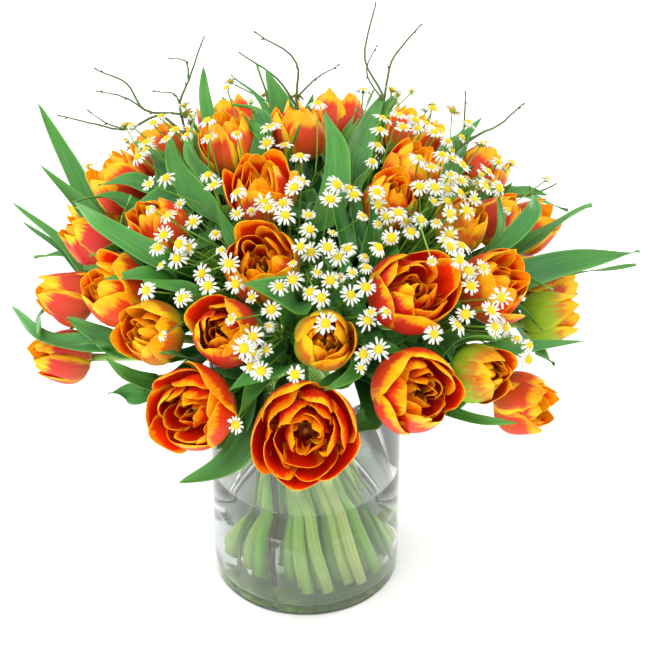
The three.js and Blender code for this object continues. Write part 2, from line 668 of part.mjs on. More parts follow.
// A leaf grows from the nearest tulip stem, comes out among the blooms at its shoulder and arches
// out to its tip.
function layLeaves(stems, blooms, strands, heads) {
  const laid = [];
  LEAVES.forEach(([tipAzimuth, tipAngle, reach, azimuth, angle, width], id) => {
    const shoulder = domePoint(azimuth, angle, LEAF.shoulder);
    const { stem, root } = nearestStem(stems, domePoint(azimuth, angle, LEAF.rootDepth));
    const tip = domePoint(tipAzimuth, tipAngle, reach);
    const arch = 0.07 * shoulder.distanceTo(tip);
    const belly = between(shoulder, tip, 0.42).addScaledVector(UP, arch);
    const points = [root, shoulder, belly, tip];
    const strandRoom = ({ radius }) => radius + 2 + width * 0.2;
    const segmentsOf = (line, from, room) => (
      line.slice(from + 1).map((end, k) => [line[from + k], end, room]));
    clearLine(points, [
      ...blooms.map((bloom) => (
        [bloom.tail, bloom.centre, bloom.size * BLOOM_ROOM + width * LEAF.clear + 1.5])),
      ...heads.map(({ centre }) => [centre, bumped(centre), SPRAY.ray + width * 0.36]),
      ...strands.filter((strand) => strand !== stem).flatMap((strand) => (
        segmentsOf(strand.points, 1, strandRoom(strand)))),
      ...laid.flatMap((leaf) => (
        segmentsOf(leaf.points, 0, LEAF.thick + (width + leaf.width) * 0.13))),
    ]);
    laid.push({ id, points, width, stem, azimuth: tipAzimuth });
  });
  return laid;
}

// The place on a tulip stem above the rim that is nearest to the target.
function nearestStem(stems, target) {
  let best = { far: Infinity };
  for (const stem of stems) {
    for (let i = 1; i + 2 < stem.points.length; i += 1) {
      const [from, to] = [stem.points[i], stem.points[i + 1]];
      const { s, apart } = nearest(from, to, target, bumped(target));
      const root = between(from, to, s);
      const far = apart.length();
      if (far < best.far && root.z > VASE.height + LEAF.overRim) best = { far, stem, root };
    }
  }
  return best;
}

// The inner points of a line are pushed until it keeps its room from each obstacle's segment.
function clearLine(points, obstacles) {
  const GAIN = 0.4;
  for (let round = 0; round < ROUNDS.leaves; round += 1) {
    for (let i = 0; i + 1 < points.length; i += 1) {
      for (const [from, to, room] of obstacles) {
        const { s, apart } = nearest(points[i], points[i + 1], from, to);
        const short = room - apart.length();
        if (short <= 0) continue;
        apart.normalize();
        if (i > 0) points[i].addScaledVector(apart, short * GAIN * (1 - s));
        if (i + 2 < points.length) points[i + 1].addScaledVector(apart, short * GAIN * s);
      }
    }
    for (const point of points.slice(1, -1)) liftOverRim(point, LEAF.rimRoom);
  }
}

// A leaf is a blade folded up along its middle and waved along its edges; extra makes it fatter.
function leafSolid(leaf, extra = 0) {
  const { points, width } = leaf;
  const facing = radians(leaf.azimuth);
  const sky = vec(0.55 * Math.cos(facing), 0.55 * Math.sin(facing), 0.85);
  const rows = LEAF.shares.map((share, i) => {
    const along = points[i + 1].clone().sub(points[Math.max(i - 1, 0)]).normalize();
    const across = along.clone().cross(sky).normalize();
    across.applyAxisAngle(along, 0.5 * (draw(leaf.id, 11) - 0.5));
    const normal = across.clone().cross(along).normalize();
    const half = (width * share) / 2 + extra;
    const fold = 0.16 * width * share;
    const wave = 0.05 * width * (i % 2 ? 1 : -1);
    const edge = (out, up) => (
      points[i].clone().addScaledVector(across, out).addScaledVector(normal, up));
    return {
      left: edge(-half, fold + wave),
      middle: points[i].clone(),
      right: edge(half, fold - wave),
      lift: normal.multiplyScalar(LEAF.thick / 2 + extra),
    };
  });
  return blade(rows, between(points[2], points[3], 1 + extra / 40));
}

// ---------------------------------------------------------------- daisies and twigs

// A three-sided stalk that opens into a star of rays with a raised disc.
function daisySolid(stalk) {
  const SIDES = STRAND_SIDES;
  const corners = 2 * SPRAY.rays;
  const path = stalk.points;
  const { rings, normal, binormal } = tubeRings(path, path.map(() => SPRAY.stalk), SIDES);
  const centre = path[path.length - 1];
  const axis = normal.clone().cross(binormal);
  const rim = circle(centre.clone().addScaledVector(axis, 1.2), normal, binormal, corners,
    (k) => (k % 2 ? SPRAY.notch : SPRAY.ray));
  const points = [...rings.flat(), ...rim, centre.clone().addScaledVector(axis, SPRAY.disc)];
  const faces = [[0, 2, 1], ...sideFaces(rings.length, SIDES)];
  const neck = SIDES * (rings.length - 1);
  const star = SIDES * rings.length;
  const apex = points.length - 1;
  const under = (k) => Math.round(((k + 0.5) * SIDES) / corners) % SIDES;
  for (let k = 0; k < corners; k += 1) {
    const next = (k + 1) % corners;
    const own = under(k);
    const before = under((k + corners - 1) % corners);
    faces.push([apex, star + k, star + next], [neck + own, star + next, star + k]);
    if (own !== before) faces.push([star + k, neck + before, neck + own]);
  }
  return solidOf(points, faces);
}

function stemTube(stem, extra = 0) {
  const last = stem.points.length - 1;
  const radii = stem.points.map((_, i) => (
    mix(STEM.radius, STEM.neck, Math.max(0, i - 1) / (last - 1)) + extra));
  return tube(stem.points, radii, STEM.sides, stem.axis);
}

function strandTube(strand, extra = 0) {
  const last = strand.points.length - 1;
  const radii = strand.points.map((_, i) => strand.radius * mix(1, 0.8, i / last) + extra);
  return tube(strand.points, radii, STRAND_SIDES);
}

// ---------------------------------------------------------------- vase, water and tie

// A turned solid from its profile, as distances out and heights.
function latheSolid(profile, sides) {
  const corners = profile.map(([x, y]) => new THREE.Vector2(x, y));
  const geometry = new THREE.LatheGeometry(corners, sides);
  return solidOfGeometry(geometry.rotateX(Math.PI / 2));
}

function vaseSolid() {
  const { radius, height, wall, floor, footBevel, sides } = VASE;
  const bore = radius - wall;
  const profile = [
    [0, 0], [radius - footBevel, 0], [radius, footBevel], [radius, height],
    [bore, height], [bore, floor], [0, floor],
  ];
  return latheSolid(profile, sides);
}

// The water fills the bore round the stems, which stand in plain holes in it.
function waterSolid(lowerTubes) {
  const radius = VASE.radius - VASE.wall - GAP;
  const floor = VASE.floor + GAP;
  const profile = [[0, floor], [radius, floor], [radius, WATER_LEVEL], [0, WATER_LEVEL]];
  return wholePiece(latheSolid(profile, VASE.sides).subtract(fuse(lowerTubes)));
}

// The hole that a stem's straight lower part stands in.
function lowerHole(strand, radius, sides) {
  const [foot, waist] = strand.points;
  const along = waist.clone().sub(foot).normalize();
  return tube([foot.clone().addScaledVector(along, -GAP), waist], [radius + GAP, radius + GAP], sides);
}

function ringSolid(bore, outer, low, high, sides) {
  return latheSolid([[bore, low], [outer, low], [outer, high], [bore, high], [bore, low]], sides);
}

function tieSolid() {
  const { bore, thick, height, sides } = TIE;
  const low = WAIST.z - height / 2;
  return ringSolid(bore, bore + thick, low, low + height, sides).translate([WAIST.x, 0, 0]);
}

// The room of the vase's wall, which leaves are cut back to.
function wallEnvelope() {
  const { radius, wall, floor, height, sides } = VASE;
  return ringSolid(radius - wall - RIM_ROOM, radius + 1, floor, height + GAP, sides);
}

// ---------------------------------------------------------------- the model

const model = new THREE.Group();

function addNode(name, solid, colour, look = {}) {
  const { vertProperties, triVerts } = solid.getMesh();
  const geometry = new THREE.BufferGeometry();
  geometry.setAttribute('position', new THREE.BufferAttribute(vertProperties, 3));
  geometry.setIndex(new THREE.BufferAttribute(triVerts, 1));
  geometry.computeVertexNormals();
  const plain = { color: colour, roughness: 0.6, metalness: 0 };
  const material = new THREE.MeshStandardMaterial({ ...plain, ...look });
  const mesh = new THREE.Mesh(geometry, material);
  mesh.name = name;
  model.add(mesh);
}

const numbered = (name, i) => `${name}_${String(i + 1).padStart(2, '0')}`;
const boxesMeet = (a, b) => [0, 1, 2].every((k) => a.min[k] < b.max[k] && b.min[k] < a.max[k]);

// A solid cut back from whatever of the others comes near it.
function trimmed(solid, others) {
  const box = solid.boundingBox();
  const near = others.filter((other) => boxesMeet(box, other.boundingBox()));
  return near.length ? solid.subtract(fuse(near)) : solid;
}

const blooms = layBlooms();
const { stems, sprayStems, twigStems } = layStems(blooms);
const thick = [...stems, ...sprayStems, ...twigStems];
bendClear(thick, [], blooms);
const heads = layHeads(blooms);
const stalks = layStalks(sprayStems, heads);
const twigs = layTwigs(twigStems);
bendClear([...stalks, ...twigs], thick, blooms);
const strands = [...thick, ...stalks, ...twigs];

blooms.forEach((bloom, i) => {
  const yellow = bloom.open < 0.3 ? COLOURS.petalYellow : COLOURS.petal;
  addNode(numbered('bloom', i), bloomSolid(bloom), yellow, { roughness: 0.45 });
});

function addSprays() {
  SPRAYS.forEach((_, spray) => {
    const own = stalks.filter((stalk) => stalk.owner === `spray ${spray}`);
    const parts = [strandTube(sprayStems[spray]), ...own.map(daisySolid)];
    addNode(numbered('daisy_spray', spray), wholePiece(fuse(parts)), COLOURS.daisy);
  });
}

function addTwigs() {
  TWIGS.forEach((_, bunch) => {
    const own = twigs.filter((twig) => twig.owner === `twig ${bunch}`);
    const parts = [twigStems[bunch], ...own].map((twig) => strandTube(twig));
    addNode(numbered('twig_bunch', bunch), wholePiece(fuse(parts)), COLOURS.twig, { roughness: 0.8 });
  });
}

// Leaves are cut back to whatever they would cross in another node.
function addLeafyStems() {
  const leaves = layLeaves(stems, blooms, strands, heads);
  const envelopes = blooms.map(bloomEnvelope);
  const fixed = [...envelopes, ...stalks.map(headEnvelope), wallEnvelope()];
  const others = strands.map((strand) => ({
    owner: strand.owner,
    solid: stems.includes(strand) ? stemTube(strand, GAP) : strandTube(strand, 2 * GAP),
  }));
  for (const leaf of leaves) {
    const foreign = others.filter(({ owner }) => owner !== leaf.stem.owner).map(({ solid }) => solid);
    leaf.solid = trimmed(leafSolid(leaf), [...foreign, ...fixed]);
    others.push({ owner: leaf.stem.owner, solid: leafSolid(leaf, GAP) });
  }
  for (let sector = 0; sector < STEM_GROUPS; sector += 1) {
    const ownStems = stems.filter((stem) => stem.sector === sector);
    const ownLeaves = leaves.filter((leaf) => leaf.stem.sector === sector);
    const parts = [
      ...ownStems.map((stem) => (
        trimmed(stemTube(stem), envelopes.filter((_, i) => i !== stem.bloom)))),
      ...ownLeaves.map((leaf) => leaf.solid),
    ];
    addNode(numbered('leafy_stems', sector), wholePiece(fuse(parts)), COLOURS.leaf);
  }
}

addSprays();
addTwigs();
addLeafyStems();

const holes = [
  ...stems.map((stem) => lowerHole(stem, STEM.radius, STEM.sides)),
  ...[...sprayStems, ...twigStems].map((stem) => lowerHole(stem, SPRAY.radius, STRAND_SIDES)),
];
addNode('vase', vaseSolid(), COLOURS.glass, { roughness: 0.05, transparent: true, opacity: 0.35 });
addNode('water', waterSolid(holes), COLOURS.water, { roughness: 0.02, transparent: true, opacity: 0.4 });
addNode('tie', tieSolid(), COLOURS.tie, { roughness: 0.85 });

export default model;
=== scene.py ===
"""Tulips in a vase: a spiral bouquet of double tulips with their leaves, small daisies and bare
twigs, tied and stood in water in a clear glass cylinder. The layout is worked out in millimetres,
in the frame's axes, and a piece's points become metres when its mesh is made."""

import math
from types import SimpleNamespace

import bpy
import numpy as np
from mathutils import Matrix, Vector


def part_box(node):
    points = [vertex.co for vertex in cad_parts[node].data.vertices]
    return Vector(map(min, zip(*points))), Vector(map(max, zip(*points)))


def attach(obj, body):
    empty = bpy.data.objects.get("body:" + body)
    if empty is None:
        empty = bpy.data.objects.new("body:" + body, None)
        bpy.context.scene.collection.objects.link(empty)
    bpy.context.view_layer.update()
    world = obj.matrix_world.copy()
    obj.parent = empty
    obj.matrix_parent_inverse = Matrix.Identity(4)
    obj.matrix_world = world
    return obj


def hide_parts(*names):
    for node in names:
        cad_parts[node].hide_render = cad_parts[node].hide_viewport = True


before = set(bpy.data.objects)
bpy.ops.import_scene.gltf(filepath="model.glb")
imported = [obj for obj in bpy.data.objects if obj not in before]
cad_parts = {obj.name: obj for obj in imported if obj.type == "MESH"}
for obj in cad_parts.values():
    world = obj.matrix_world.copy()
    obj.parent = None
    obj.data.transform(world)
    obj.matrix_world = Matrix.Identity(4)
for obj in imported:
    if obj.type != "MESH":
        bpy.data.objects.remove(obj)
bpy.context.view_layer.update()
MM = 0.001  # a millimetre, in the frame's metres

# ---------------------------------------------------------------- driving values

# The camera stands in front of the vase and looks down on it. Millimetres and degrees.
CAMERA = {"distance": 2004.16, "elevation": 40.49, "yaw": 0.577, "pitch": 35.059}
CAMERA_LENS = {"focal": 134.19, "sensor": 36.0, "clip": (0.05, 50)}

GAP = 0.3  # what touching pieces keep between them
SEED = 17
DICE = {"tulip": 0, "leaf": 500, "daisy": 2000, "twig": 3000, "frond": 4000}

# The bloom centres lie on this dome, and every bloom faces away from the focus.
DOME = {"z": 250, "across": 190, "up": 125}
FOCUS = np.array([0.0, 0.0, 190.0])

# The bunch of stems: a close-packed waist under the tie, spread by a spiral down to the cut ends.
WAIST = {"z": 186, "pitch": 8.3, "touch": 5.8, "ring": 19, "x": -8, "rows": 5}
FEET = {"z": 13, "x": 3, "turn": 1.66}
LEAN = 50  # degrees from a bloom's side of the dome to its stem's side of the waist

# Radii, how many points a stem has above the waist, and where sprays and twigs fork, in domes.
STEM = {"radius": 3.7, "neck": 3.1, "foot": 4.4, "steps": 3}
SPRAY = {"radius": 1.7, "stalk": 0.9, "ray": 8.5, "reach": 1.09, "steps": 4, "fork": 0.66}
TWIG = {"line": 1.2, "tip": 0.8, "fork": 0.6, "stem": (2.4, 1.2), "taper": (1.1, 0.5)}

# Where a leaf has its root and shoulder, in domes; how far its belly lies along it, and how high
# it arches; and what it keeps from the rim, a bloom, a daisy head, a strand and another leaf, the
# last four in leaf widths.
LEAF = {
    "thick": 2, "root": 0.62, "shoulder": 0.84, "belly": 0.42, "arch": 0.07, "over_rim": 6,
    "rim_room": 5, "bloom": 0.4, "head": 0.36, "strand": 0.2, "leaf": 0.13,
}
STEM_GROUPS = 8
SIDES = {"vase": 128, "disc": 14, "stem": 12, "branch": 8, "stalk": 6, "stamen": 5, "thread": 4}
BLOOM_TALL = (1.08, 0.74)  # height of a bloom when shut and when open, in diameters
BLOOM_ROOM = 0.54  # what leaves, stalks and stems keep from a bloom's middle, in diameters
BLOOM_SPACE = 2.5  # what two blooms keep between their round outlines
RIM_ROOM = 2  # what keeps between a stem or leaf and the vase's rim
ROUNDS = {"blooms": 90, "strands": 90, "heads": 30, "leaves": 40}
TINY = 1e-6  # a gap too small to have a direction
GOLDEN_ANGLE = 137.508

# Blooms: azimuth (-90 is the front), angle from the dome's top, diameter, openness from 0 to 1.
BLOOMS = [
    [-90, 80, 72, 1.0], [-115, 76, 62, 0.75], [-112, 54, 52, 0.45], [-132, 60, 48, 0.4],
    [-150, 57, 52, 0.5], [-169, 74, 46, 0.15], [-166, 96, 44, 0.1], [-178, 58, 44, 0.15],
    [158, 53, 48, 0.4], [-160, 37, 45, 0.3], [-138, 13, 52, 0.6], [-107, 34, 57, 0.55],
    [-85, 53, 46, 0.35], [-56, 45, 62, 0.7], [-64, 72, 64, 0.6], [-30, 56, 54, 0.6],
    [-47, 75, 46, 0.1], [-28, 104, 50, 0.6], [-11, 84, 44, 0.0], [-2, 50, 44, 0.2],
    [14, 70, 44, 0.3], [6, 88, 42, 0.15], [8, 25, 44, 0.5], [-30, 22, 42, 0.4],
    [136, 22, 50, 0.5], [98, 17, 48, 0.6], [77, 42, 46, 0.5], [50, 44, 46, 0.5],
    [31, 58, 46, 0.4], [-16, 40, 44, 0.25], [138, 53, 46, 0.4], [62, 64, 48, 0.5],
    [116, 44, 48, 0.5], [96, 64, 50, 0.6], [80, 84, 50, 0.5], [122, 74, 52, 0.7],
    [150, 80, 48, 0.3], [103, 94, 52, 0.6], [50, 90, 50, 0.8], [28, 88, 46, 0.3],
]

# How a bloom differs in colour from the rest: green on its outer petals, with most of them green
# from 1 on; yellow all over; and pink on its outer petals.
TINTS = {
    1: (0.0, 0.08, 0.25), 3: (0.1, 0.1, 0.8), 4: (0.6, 0.45, 0.3), 5: (0.1, 0.2, 0.3),
    6: (0.1, 0.1, 0.9), 7: (0.1, 0.0, 0.9), 8: (0.05, 0.0, 1.0), 9: (0.0, 0.3, 0.2),
    12: (0.25, 0.3, 0.4), 13: (1.2, 0.3, 0.2), 14: (0.0, 0.1, 0.6), 16: (0.2, 0.2, 0.5),
    17: (1.7, 0.1, 0.3), 18: (0.1, 0.2, 0.5), 19: (2.0, 0.4, 0.3), 20: (0.1, 0.1, 1.0),
    21: (0.1, 0.3, 0.4), 22: (0.3, 0.2, 0.9), 23: (0.1, 0.5, 0.1), 24: (0.2, 0.4, 0.2),
    30: (0.6, 0.4, 0.2), 40: (0.6, 0.3, 0.2),
}
PLAIN_TINT = (0.1, 0.2, 0.4)  # of the rest, each with its own shares of it

# Leaves: tip as azimuth, angle from the top and reach in domes; the azimuth and angle where the
# leaf comes out from among the blooms; width.
LEAVES = [
    [150, 55, 1.53, 158, 64, 25], [158, 62, 1.31, 160, 66, 20], [166, 69, 1.3, -176, 66, 14],
    [168, 72, 1.22, 178, 80, 13], [-176, 86, 1.17, -149, 77, 22], [179, 52, 1.12, -144, 46, 24],
    [174, 54, 1.14, 173, 47, 18], [144, 37, 1.12, -150, 24, 27], [117, 43, 1.34, 120, 45, 16],
    [111, 42, 1.26, 112, 43, 13], [103, 41, 1.3, 103, 42, 16], [75, 17, 1.14, -85, 20, 32],
    [66, 43, 1.16, 26, 17, 26], [61, 44, 1.21, 70, 43, 18], [54, 19, 1.12, 69, 15, 18],
    [41, 51, 1.16, 10, 34, 22], [40, 51, 1.23, 38, 53, 16], [9, 48, 1.12, 14, 58, 15],
    [18, 66, 1.12, 18, 68, 14], [13, 69, 1.28, 2, 67, 26], [3, 77, 1.38, -14, 78, 30],
    [1, 79, 1.35, -1, 86, 20], [-16, 87, 1.14, -34, 80, 16], [-46, 88, 1.14, -52, 84, 15],
    [-115, 98, 1.12, -102, 88, 30], [-106, 66, 1.1, -95, 62, 27], [-104, 74, 1.08, -101, 70, 18],
    [-136, 68, 1.12, -130, 82, 18], [-145, 70, 1.12, -148, 80, 16], [-147, 52, 1.14, -138, 46, 18],
    [-137, 47, 1.12, -124, 56, 22], [-108, 40, 1.12, -92, 52, 38], [-123, 61, 1.12, -121, 69, 15],
    [-43, 65, 1.1, -56, 66, 28], [148, 46, 1.12, 172, 38, 23], [132, 19, 1.14, 131, 16, 15],
    [-4, 41, 1.14, -29, 46, 16], [-63, 12, 1.12, -66, 30, 22], [-48, 18, 1.14, -58, 32, 20],
    [-86, 64, 1.12, -70, 66, 17], [24, 80, 1.22, 38, 74, 26], [64, 78, 1.26, 66, 74, 28],
    [72, 54, 1.2, 76, 62, 24], [90, 80, 1.24, 90, 76, 28], [110, 58, 1.2, 106, 56, 26],
    [114, 86, 1.26, 112, 84, 28], [138, 86, 1.22, 136, 70, 26], [164, 88, 1.16, 160, 84, 22],
    [86, 28, 1.16, 88, 32, 22],
]

# Leaves without a solid of their own, which stand before and between the blooms.
MORE_LEAVES = [
    [39, 52, 1.12, -9, 36, 18], [7, 51, 1.14, -25, 48, 20], [129, 20, 1.14, 146, 14, 14],
    [96, 7, 1.16, 139, 8, 11], [135, 32, 1.16, -179, 21, 14], [37, 52, 1.18, 33, 56, 15],
    [58, 20, 1.16, 71, 17, 14], [-172, 37, 1.12, -156, 43, 16], [0, 10, 1.05, -60, 20, 18],
    [-12, 15, 1.05, -44, 28, 16], [-149, 22, 1.06, -123, 30, 15], [-52, 58, 0.86, -80, 52, 30],
    [-30, 77, 0.88, -52, 66, 26], [10, 62, 0.88, -16, 46, 26], [-166, 82, 0.96, -147, 72, 24],
    [-44, 66, 0.84, -70, 57, 34], [88, 40, 0.92, 80, 20, 34], [178, 50, 0.92, 168, 32, 32],
    [101, 40, 1.27, 106, 46, 30], [126, 25, 1.13, 160, 13, 20], [2, 36, 1.08, -22, 46, 22],
    [-165, 60, 1.02, -150, 54, 24],
]

# Daisy heads that also have a solid, spray by spray: azimuth and angle from the dome's top.
SPRAYS = [
    [[-98, 34], [-88, 31], [-74, 31], [-67, 38], [-78, 56], [-99, 45], [-99, 55], [-104, 75]],
    [[-93, 12], [-118, 22], [-109, 6], [-137, 30], [-127, 30], [-132, 39], [-124, 47],
     [-152, 30]],
    [[-42, 46], [-50, 53], [-44, 62], [-60, 57], [-36, 37], [-44, 29], [-23, 33], [-14, 31]],
    [[130, 40], [144, 35], [158, 20], [112, 34], [87, 14], [-166, 8], [120, 60], [104, 78]],
    [[48, 25], [52, 40], [36, 32], [12, 16], [14, 32], [22, 50], [-57, 18], [44, 68]],
]

# The other heads of the same sprays.
MORE_HEADS = [
    [[-88, 26], [-82, 31], [-86, 36], [-82, 38], [-88, 41], [-68, 34], [-71, 41], [-77, 42],
     [-74, 47], [-77, 49], [-74, 55], [-99, 49], [-99, 59], [-102, 53], [-106, 45], [-92, 59]],
    [[167, 13], [160, 7], [-96, 16], [-88, 22], [-99, 24], [-128, 20], [-120, 25], [-145, 32],
     [-132, 36], [-135, 42], [-141, 36], [-166, 28], [-120, 46], [-132, 52], [-116, 42],
     [-115, 34], [-69, 16]],
    [[-56, 17], [-51, 21], [-30, 15], [-50, 27], [-30, 25], [-19, 29], [-16, 33], [-11, 37],
     [-35, 33], [-39, 40], [-46, 47], [-41, 46], [-46, 59], [-40, 63], [-41, 69], [-6, 31],
     [-1, 37], [-12, 37], [-24, 35], [-34, 33], [-31, 29], [-43, 30], [19, 50], [8, 40],
     [-42, 38], [-27, 27], [-8, 35], [-52, 55]],
    [[114, 43], [126, 46], [157, 31], [140, 52], [157, 38], [166, 32], [166, 23], [134, 66],
     [92, 50], [84, 70], [146, 68]],
    [[-5, 31], [-1, 38], [62, 44], [36, 23], [26, 22], [52, 47], [43, 37], [26, 31], [10, 28],
     [66, 30], [34, 44], [58, 56]],
]

# Twigs, bunch by bunch. A line's points are azimuth, angle and reach; a side shoot starts at the
# point of the line that its first number counts.
TWIGS = [
    [
        {"line": [[135, 50, 1.05], [135, 49, 1.23], [135, 48, 1.39], [138, 49, 1.52]],
         "sides": [[1, 141, 50, 1.42]]},
        {"line": [[138, 51, 1.03], [142, 52, 1.19], [146, 53, 1.29], [149, 55, 1.42]],
         "sides": [[1, 147, 50, 1.36]]},
        {"line": [[126, 46, 1.17], [122, 44, 1.29], [115, 41, 1.49]],
         "sides": [[0, 131, 46, 1.29], [1, 125, 42, 1.43]]},
    ],
    [
        {"line": [[86, 40, 1.12], [92, 40, 1.29], [102, 40, 1.47]], "sides": [[0, 80, 40, 1.28]]},
        {"line": [[90, 43, 1.04], [98, 42, 1.21], [107, 41, 1.37]], "sides": []},
        {"line": [[72, 41, 1.09], [73, 41, 1.33], [73, 39, 1.64]], "sides": [[0, 71, 41, 1.41]]},
        {"line": [[68, 42, 1.11], [66, 42, 1.35], [62, 41, 1.57]], "sides": []},
        {"line": [[45, 50, 1.11], [47, 49, 1.3]], "sides": []},
        {"line": [[34, 53, 1.1], [36, 53, 1.25], [35, 52, 1.39]], "sides": []},
        {"line": [[20, 64, 1.08], [19, 64, 1.2]], "sides": []},
    ],
]


def solid_box(node):
    """The lowest and highest corner of a solid, in millimetres."""
    return [np.array(corner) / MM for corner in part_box(node)]


def vase_sizes():
    """The vase's sizes, from its own solid and from the water that fits in it."""
    low, high = solid_box("vase")
    water_low, water_high = solid_box("water")
    return SimpleNamespace(
        radius=(high[0] - low[0]) / 2, height=high[2], bore=water_high[0] + GAP,
        floor=water_low[2] - GAP, water=water_high[2])


VASE = vase_sizes()


# ---------------------------------------------------------------- small mathematics

def mix(a, b, share):
    """What lies between a and b, at a share of the way."""
    return a + (b - a) * share


def unit(vector):
    """The vector, or each row of vectors, with a length of one."""
    return vector / np.linalg.norm(vector, axis=-1, keepdims=True)


def dice(kind, number):
    """A generator of random numbers of its own for each thing of a kind."""
    return np.random.default_rng([SEED, DICE[kind] + number])


def draw(a, b):
    """A repeatable draw from 0 to 1 for the pair of numbers: what it is drawn for, and the use."""
    value = math.sin(a * 12.9898 + b * 78.233 + SEED) * 43758.5453
    return value - math.floor(value)


def dome_point(azimuth, angle, reach=1.0):
    """A point by its azimuth and its angle from the dome's top, on a dome of that size."""
    a, p = math.radians(azimuth), math.radians(angle)
    out = DOME["across"] * reach * math.sin(p)
    up = DOME["up"] * reach * math.cos(p)
    return np.array([out * math.cos(a), out * math.sin(a), DOME["z"] + up])


def turned(vector, axis, angle):
    """The vector turned about a unit axis."""
    return (vector * math.cos(angle) + np.cross(axis, vector) * math.sin(angle)
            + axis * np.dot(axis, vector) * (1 - math.cos(angle)))


def cross_axes(axis, turn=0.0):
    """Two unit vectors that make a right-handed frame with the axis, turned by an angle."""
    start = np.array([0.0, 0.0, 1.0]) if abs(axis[2]) < 0.95 else np.array([0.0, 1.0, 0.0])
    x = turned(unit(np.cross(start, axis)), axis, turn)
    return x, np.cross(axis, x)


def nearest(p1, q1, p2, q2):
    """The shares along two segments where they are nearest, and the gap's vector. Works on rows."""
    parallel = 1e-9
    d1, d2, r = q1 - p1, q2 - p2, p1 - p2
    a, e, f = (d1 * d1).sum(-1), (d2 * d2).sum(-1), (d2 * r).sum(-1)
    c, b = (d1 * r).sum(-1), (d1 * d2).sum(-1)
    det = a * e - b * b
    safe = np.where(det > parallel, det, 1.0)
    s = np.where(det > parallel, np.clip((b * f - c * e) / safe, 0, 1), 0.0)
    t = np.clip((b * s + f) / e, 0, 1)
    s = np.clip((b * t - c) / a, 0, 1)
    return s, t, p1 + d1 * s[..., None] - p2 - d2 * t[..., None]


def smooth_line(points, steps):
    """A smooth curve through the points, with some steps in each stretch."""
    points = np.asarray(points, float)
    stretch = np.diff(points, axis=0)
    length = np.linalg.norm(stretch, axis=1)
    along = stretch / length[:, None]
    tangent = unit(np.vstack([along[:1], along[1:] + along[:-1], along[-1:]]))
    t = np.linspace(0, 1, steps + 1)[:-1, None]
    parts = []
    for i, span in enumerate(length):
        parts.append((2 * t**3 - 3 * t**2 + 1) * points[i] + (t**3 - 2 * t**2 + t) * tangent[i] * span
                     + (3 * t**2 - 2 * t**3) * points[i + 1] + (t**3 - t**2) * tangent[i + 1] * span)
    return np.vstack([*parts, points[-1:]])


# ---------------------------------------------------------------- where everything lies

def lay_blooms():
    """Blooms that would press into each other are eased apart. A bloom keeps others away from a
    line through it, from its tail to its centre."""
    gain, far_off = 0.35, 1e9
    shut_tail, open_tail = 0.5, 0.8
    centres = np.array([dome_point(azimuth, angle) for azimuth, angle, _, _ in BLOOMS])
    sizes = np.array([row[2] for row in BLOOMS], float)
    room = (sizes[:, None] + sizes) / 2 + BLOOM_SPACE
    for _ in range(ROUNDS["blooms"]):
        apart = centres[:, None] - centres
        far = np.linalg.norm(apart, axis=2) + np.eye(len(centres)) * far_off
        short = np.clip(room - far, 0, None)
        centres = centres + gain * (apart * (short / far)[..., None]).sum(1)
    blooms = []
    for i, (azimuth, angle, size, openness) in enumerate(BLOOMS):
        axis = unit(centres[i] - FOCUS)
        height = size * mix(*BLOOM_TALL, openness)
        base = centres[i] - axis * height / 2
        tail = mix(base, centres[i], open_tail if openness > 0.5 else shut_tail)
        blooms.append(SimpleNamespace(
            id=i, azimuth=azimuth, angle=angle, size=size, open=openness, centre=centres[i],
            axis=axis, height=height, base=base, tail=tail, turn=2 * math.pi * draw(i, 1)))
    return blooms


def waist_places(count):
    """Close-packed places in the waist, nearest to its middle first."""
    far = WAIST["rows"]
    places = []
    for row in range(-far, far + 1):
        for column in range(-far, far + 1):
            x = WAIST["pitch"] * (column + (0.5 if row % 2 else 0))
            places.append((x, WAIST["pitch"] * row * math.sqrt(0.75)))
    places.sort(key=lambda place: math.hypot(*place))
    return places[:count]


def sector_of(place):
    """The bunch's sectors: one in the middle and the rest round it."""
    around = STEM_GROUPS - 1
    seeds = [(0, 0)] + [
        (WAIST["ring"] * math.cos(2 * math.pi * k / around),
         WAIST["ring"] * math.sin(2 * math.pi * k / around)) for k in range(around)]
    far = [math.hypot(place[0] - x, place[1] - y) for x, y in seeds]
    return far.index(min(far))


def deal_places(wishes):
    """Each stem takes the free place in the waist nearest to its own side: thin ones at the edge
    of the bunch first, then the tulips, outermost bloom first."""
    outside, edge_angle = 1.2, 80
    free = waist_places(len(wishes))
    edge = math.hypot(*free[-1])
    for wish in sorted(wishes, key=lambda wish: (not wish.thin, -wish.angle)):
        side = math.radians(wish.azimuth + LEAN)
        out = edge * (outside if wish.thin else min(1, wish.angle / edge_angle))
        far = [math.hypot(x - out * math.cos(side), y - out * math.sin(side)) for x, y in free]
        wish.place = free.pop(far.index(min(far)))


def press_sectors(stems):
    """Tulip stems of one sector are pressed against each other, from its middle outwards."""
    for sector in range(STEM_GROUPS):
        own = [stem for stem in stems if stem.sector == sector]
        mean = tuple(sum(stem.place[k] for stem in own) / len(own) for k in (0, 1))
        own.sort(key=lambda stem: math.dist(stem.place, mean))
        joined = [own.pop(0)]
        while own:
            best = (math.inf, None, None)
            for stem in own:
                for mate in joined:
                    far = math.dist(stem.place, mate.place)
                    if far < best[0] - TINY:
                        best = (far, stem, mate)
            far, stem, mate = best
            share = min(1, WAIST["touch"] / far)
            stem.place = tuple(mix(mate.place[k], stem.place[k], share) for k in (0, 1))
            own.remove(stem)
            joined.append(stem)


def lower_points(place):
    """Cut end and waist of a stem, which is straight up to the waist."""
    x, y = place
    foot = np.array([FEET["x"] + x - FEET["turn"] * y, y + FEET["turn"] * x, FEET["z"]])
    return foot, np.array([WAIST["x"] + x, y, WAIST["z"]])


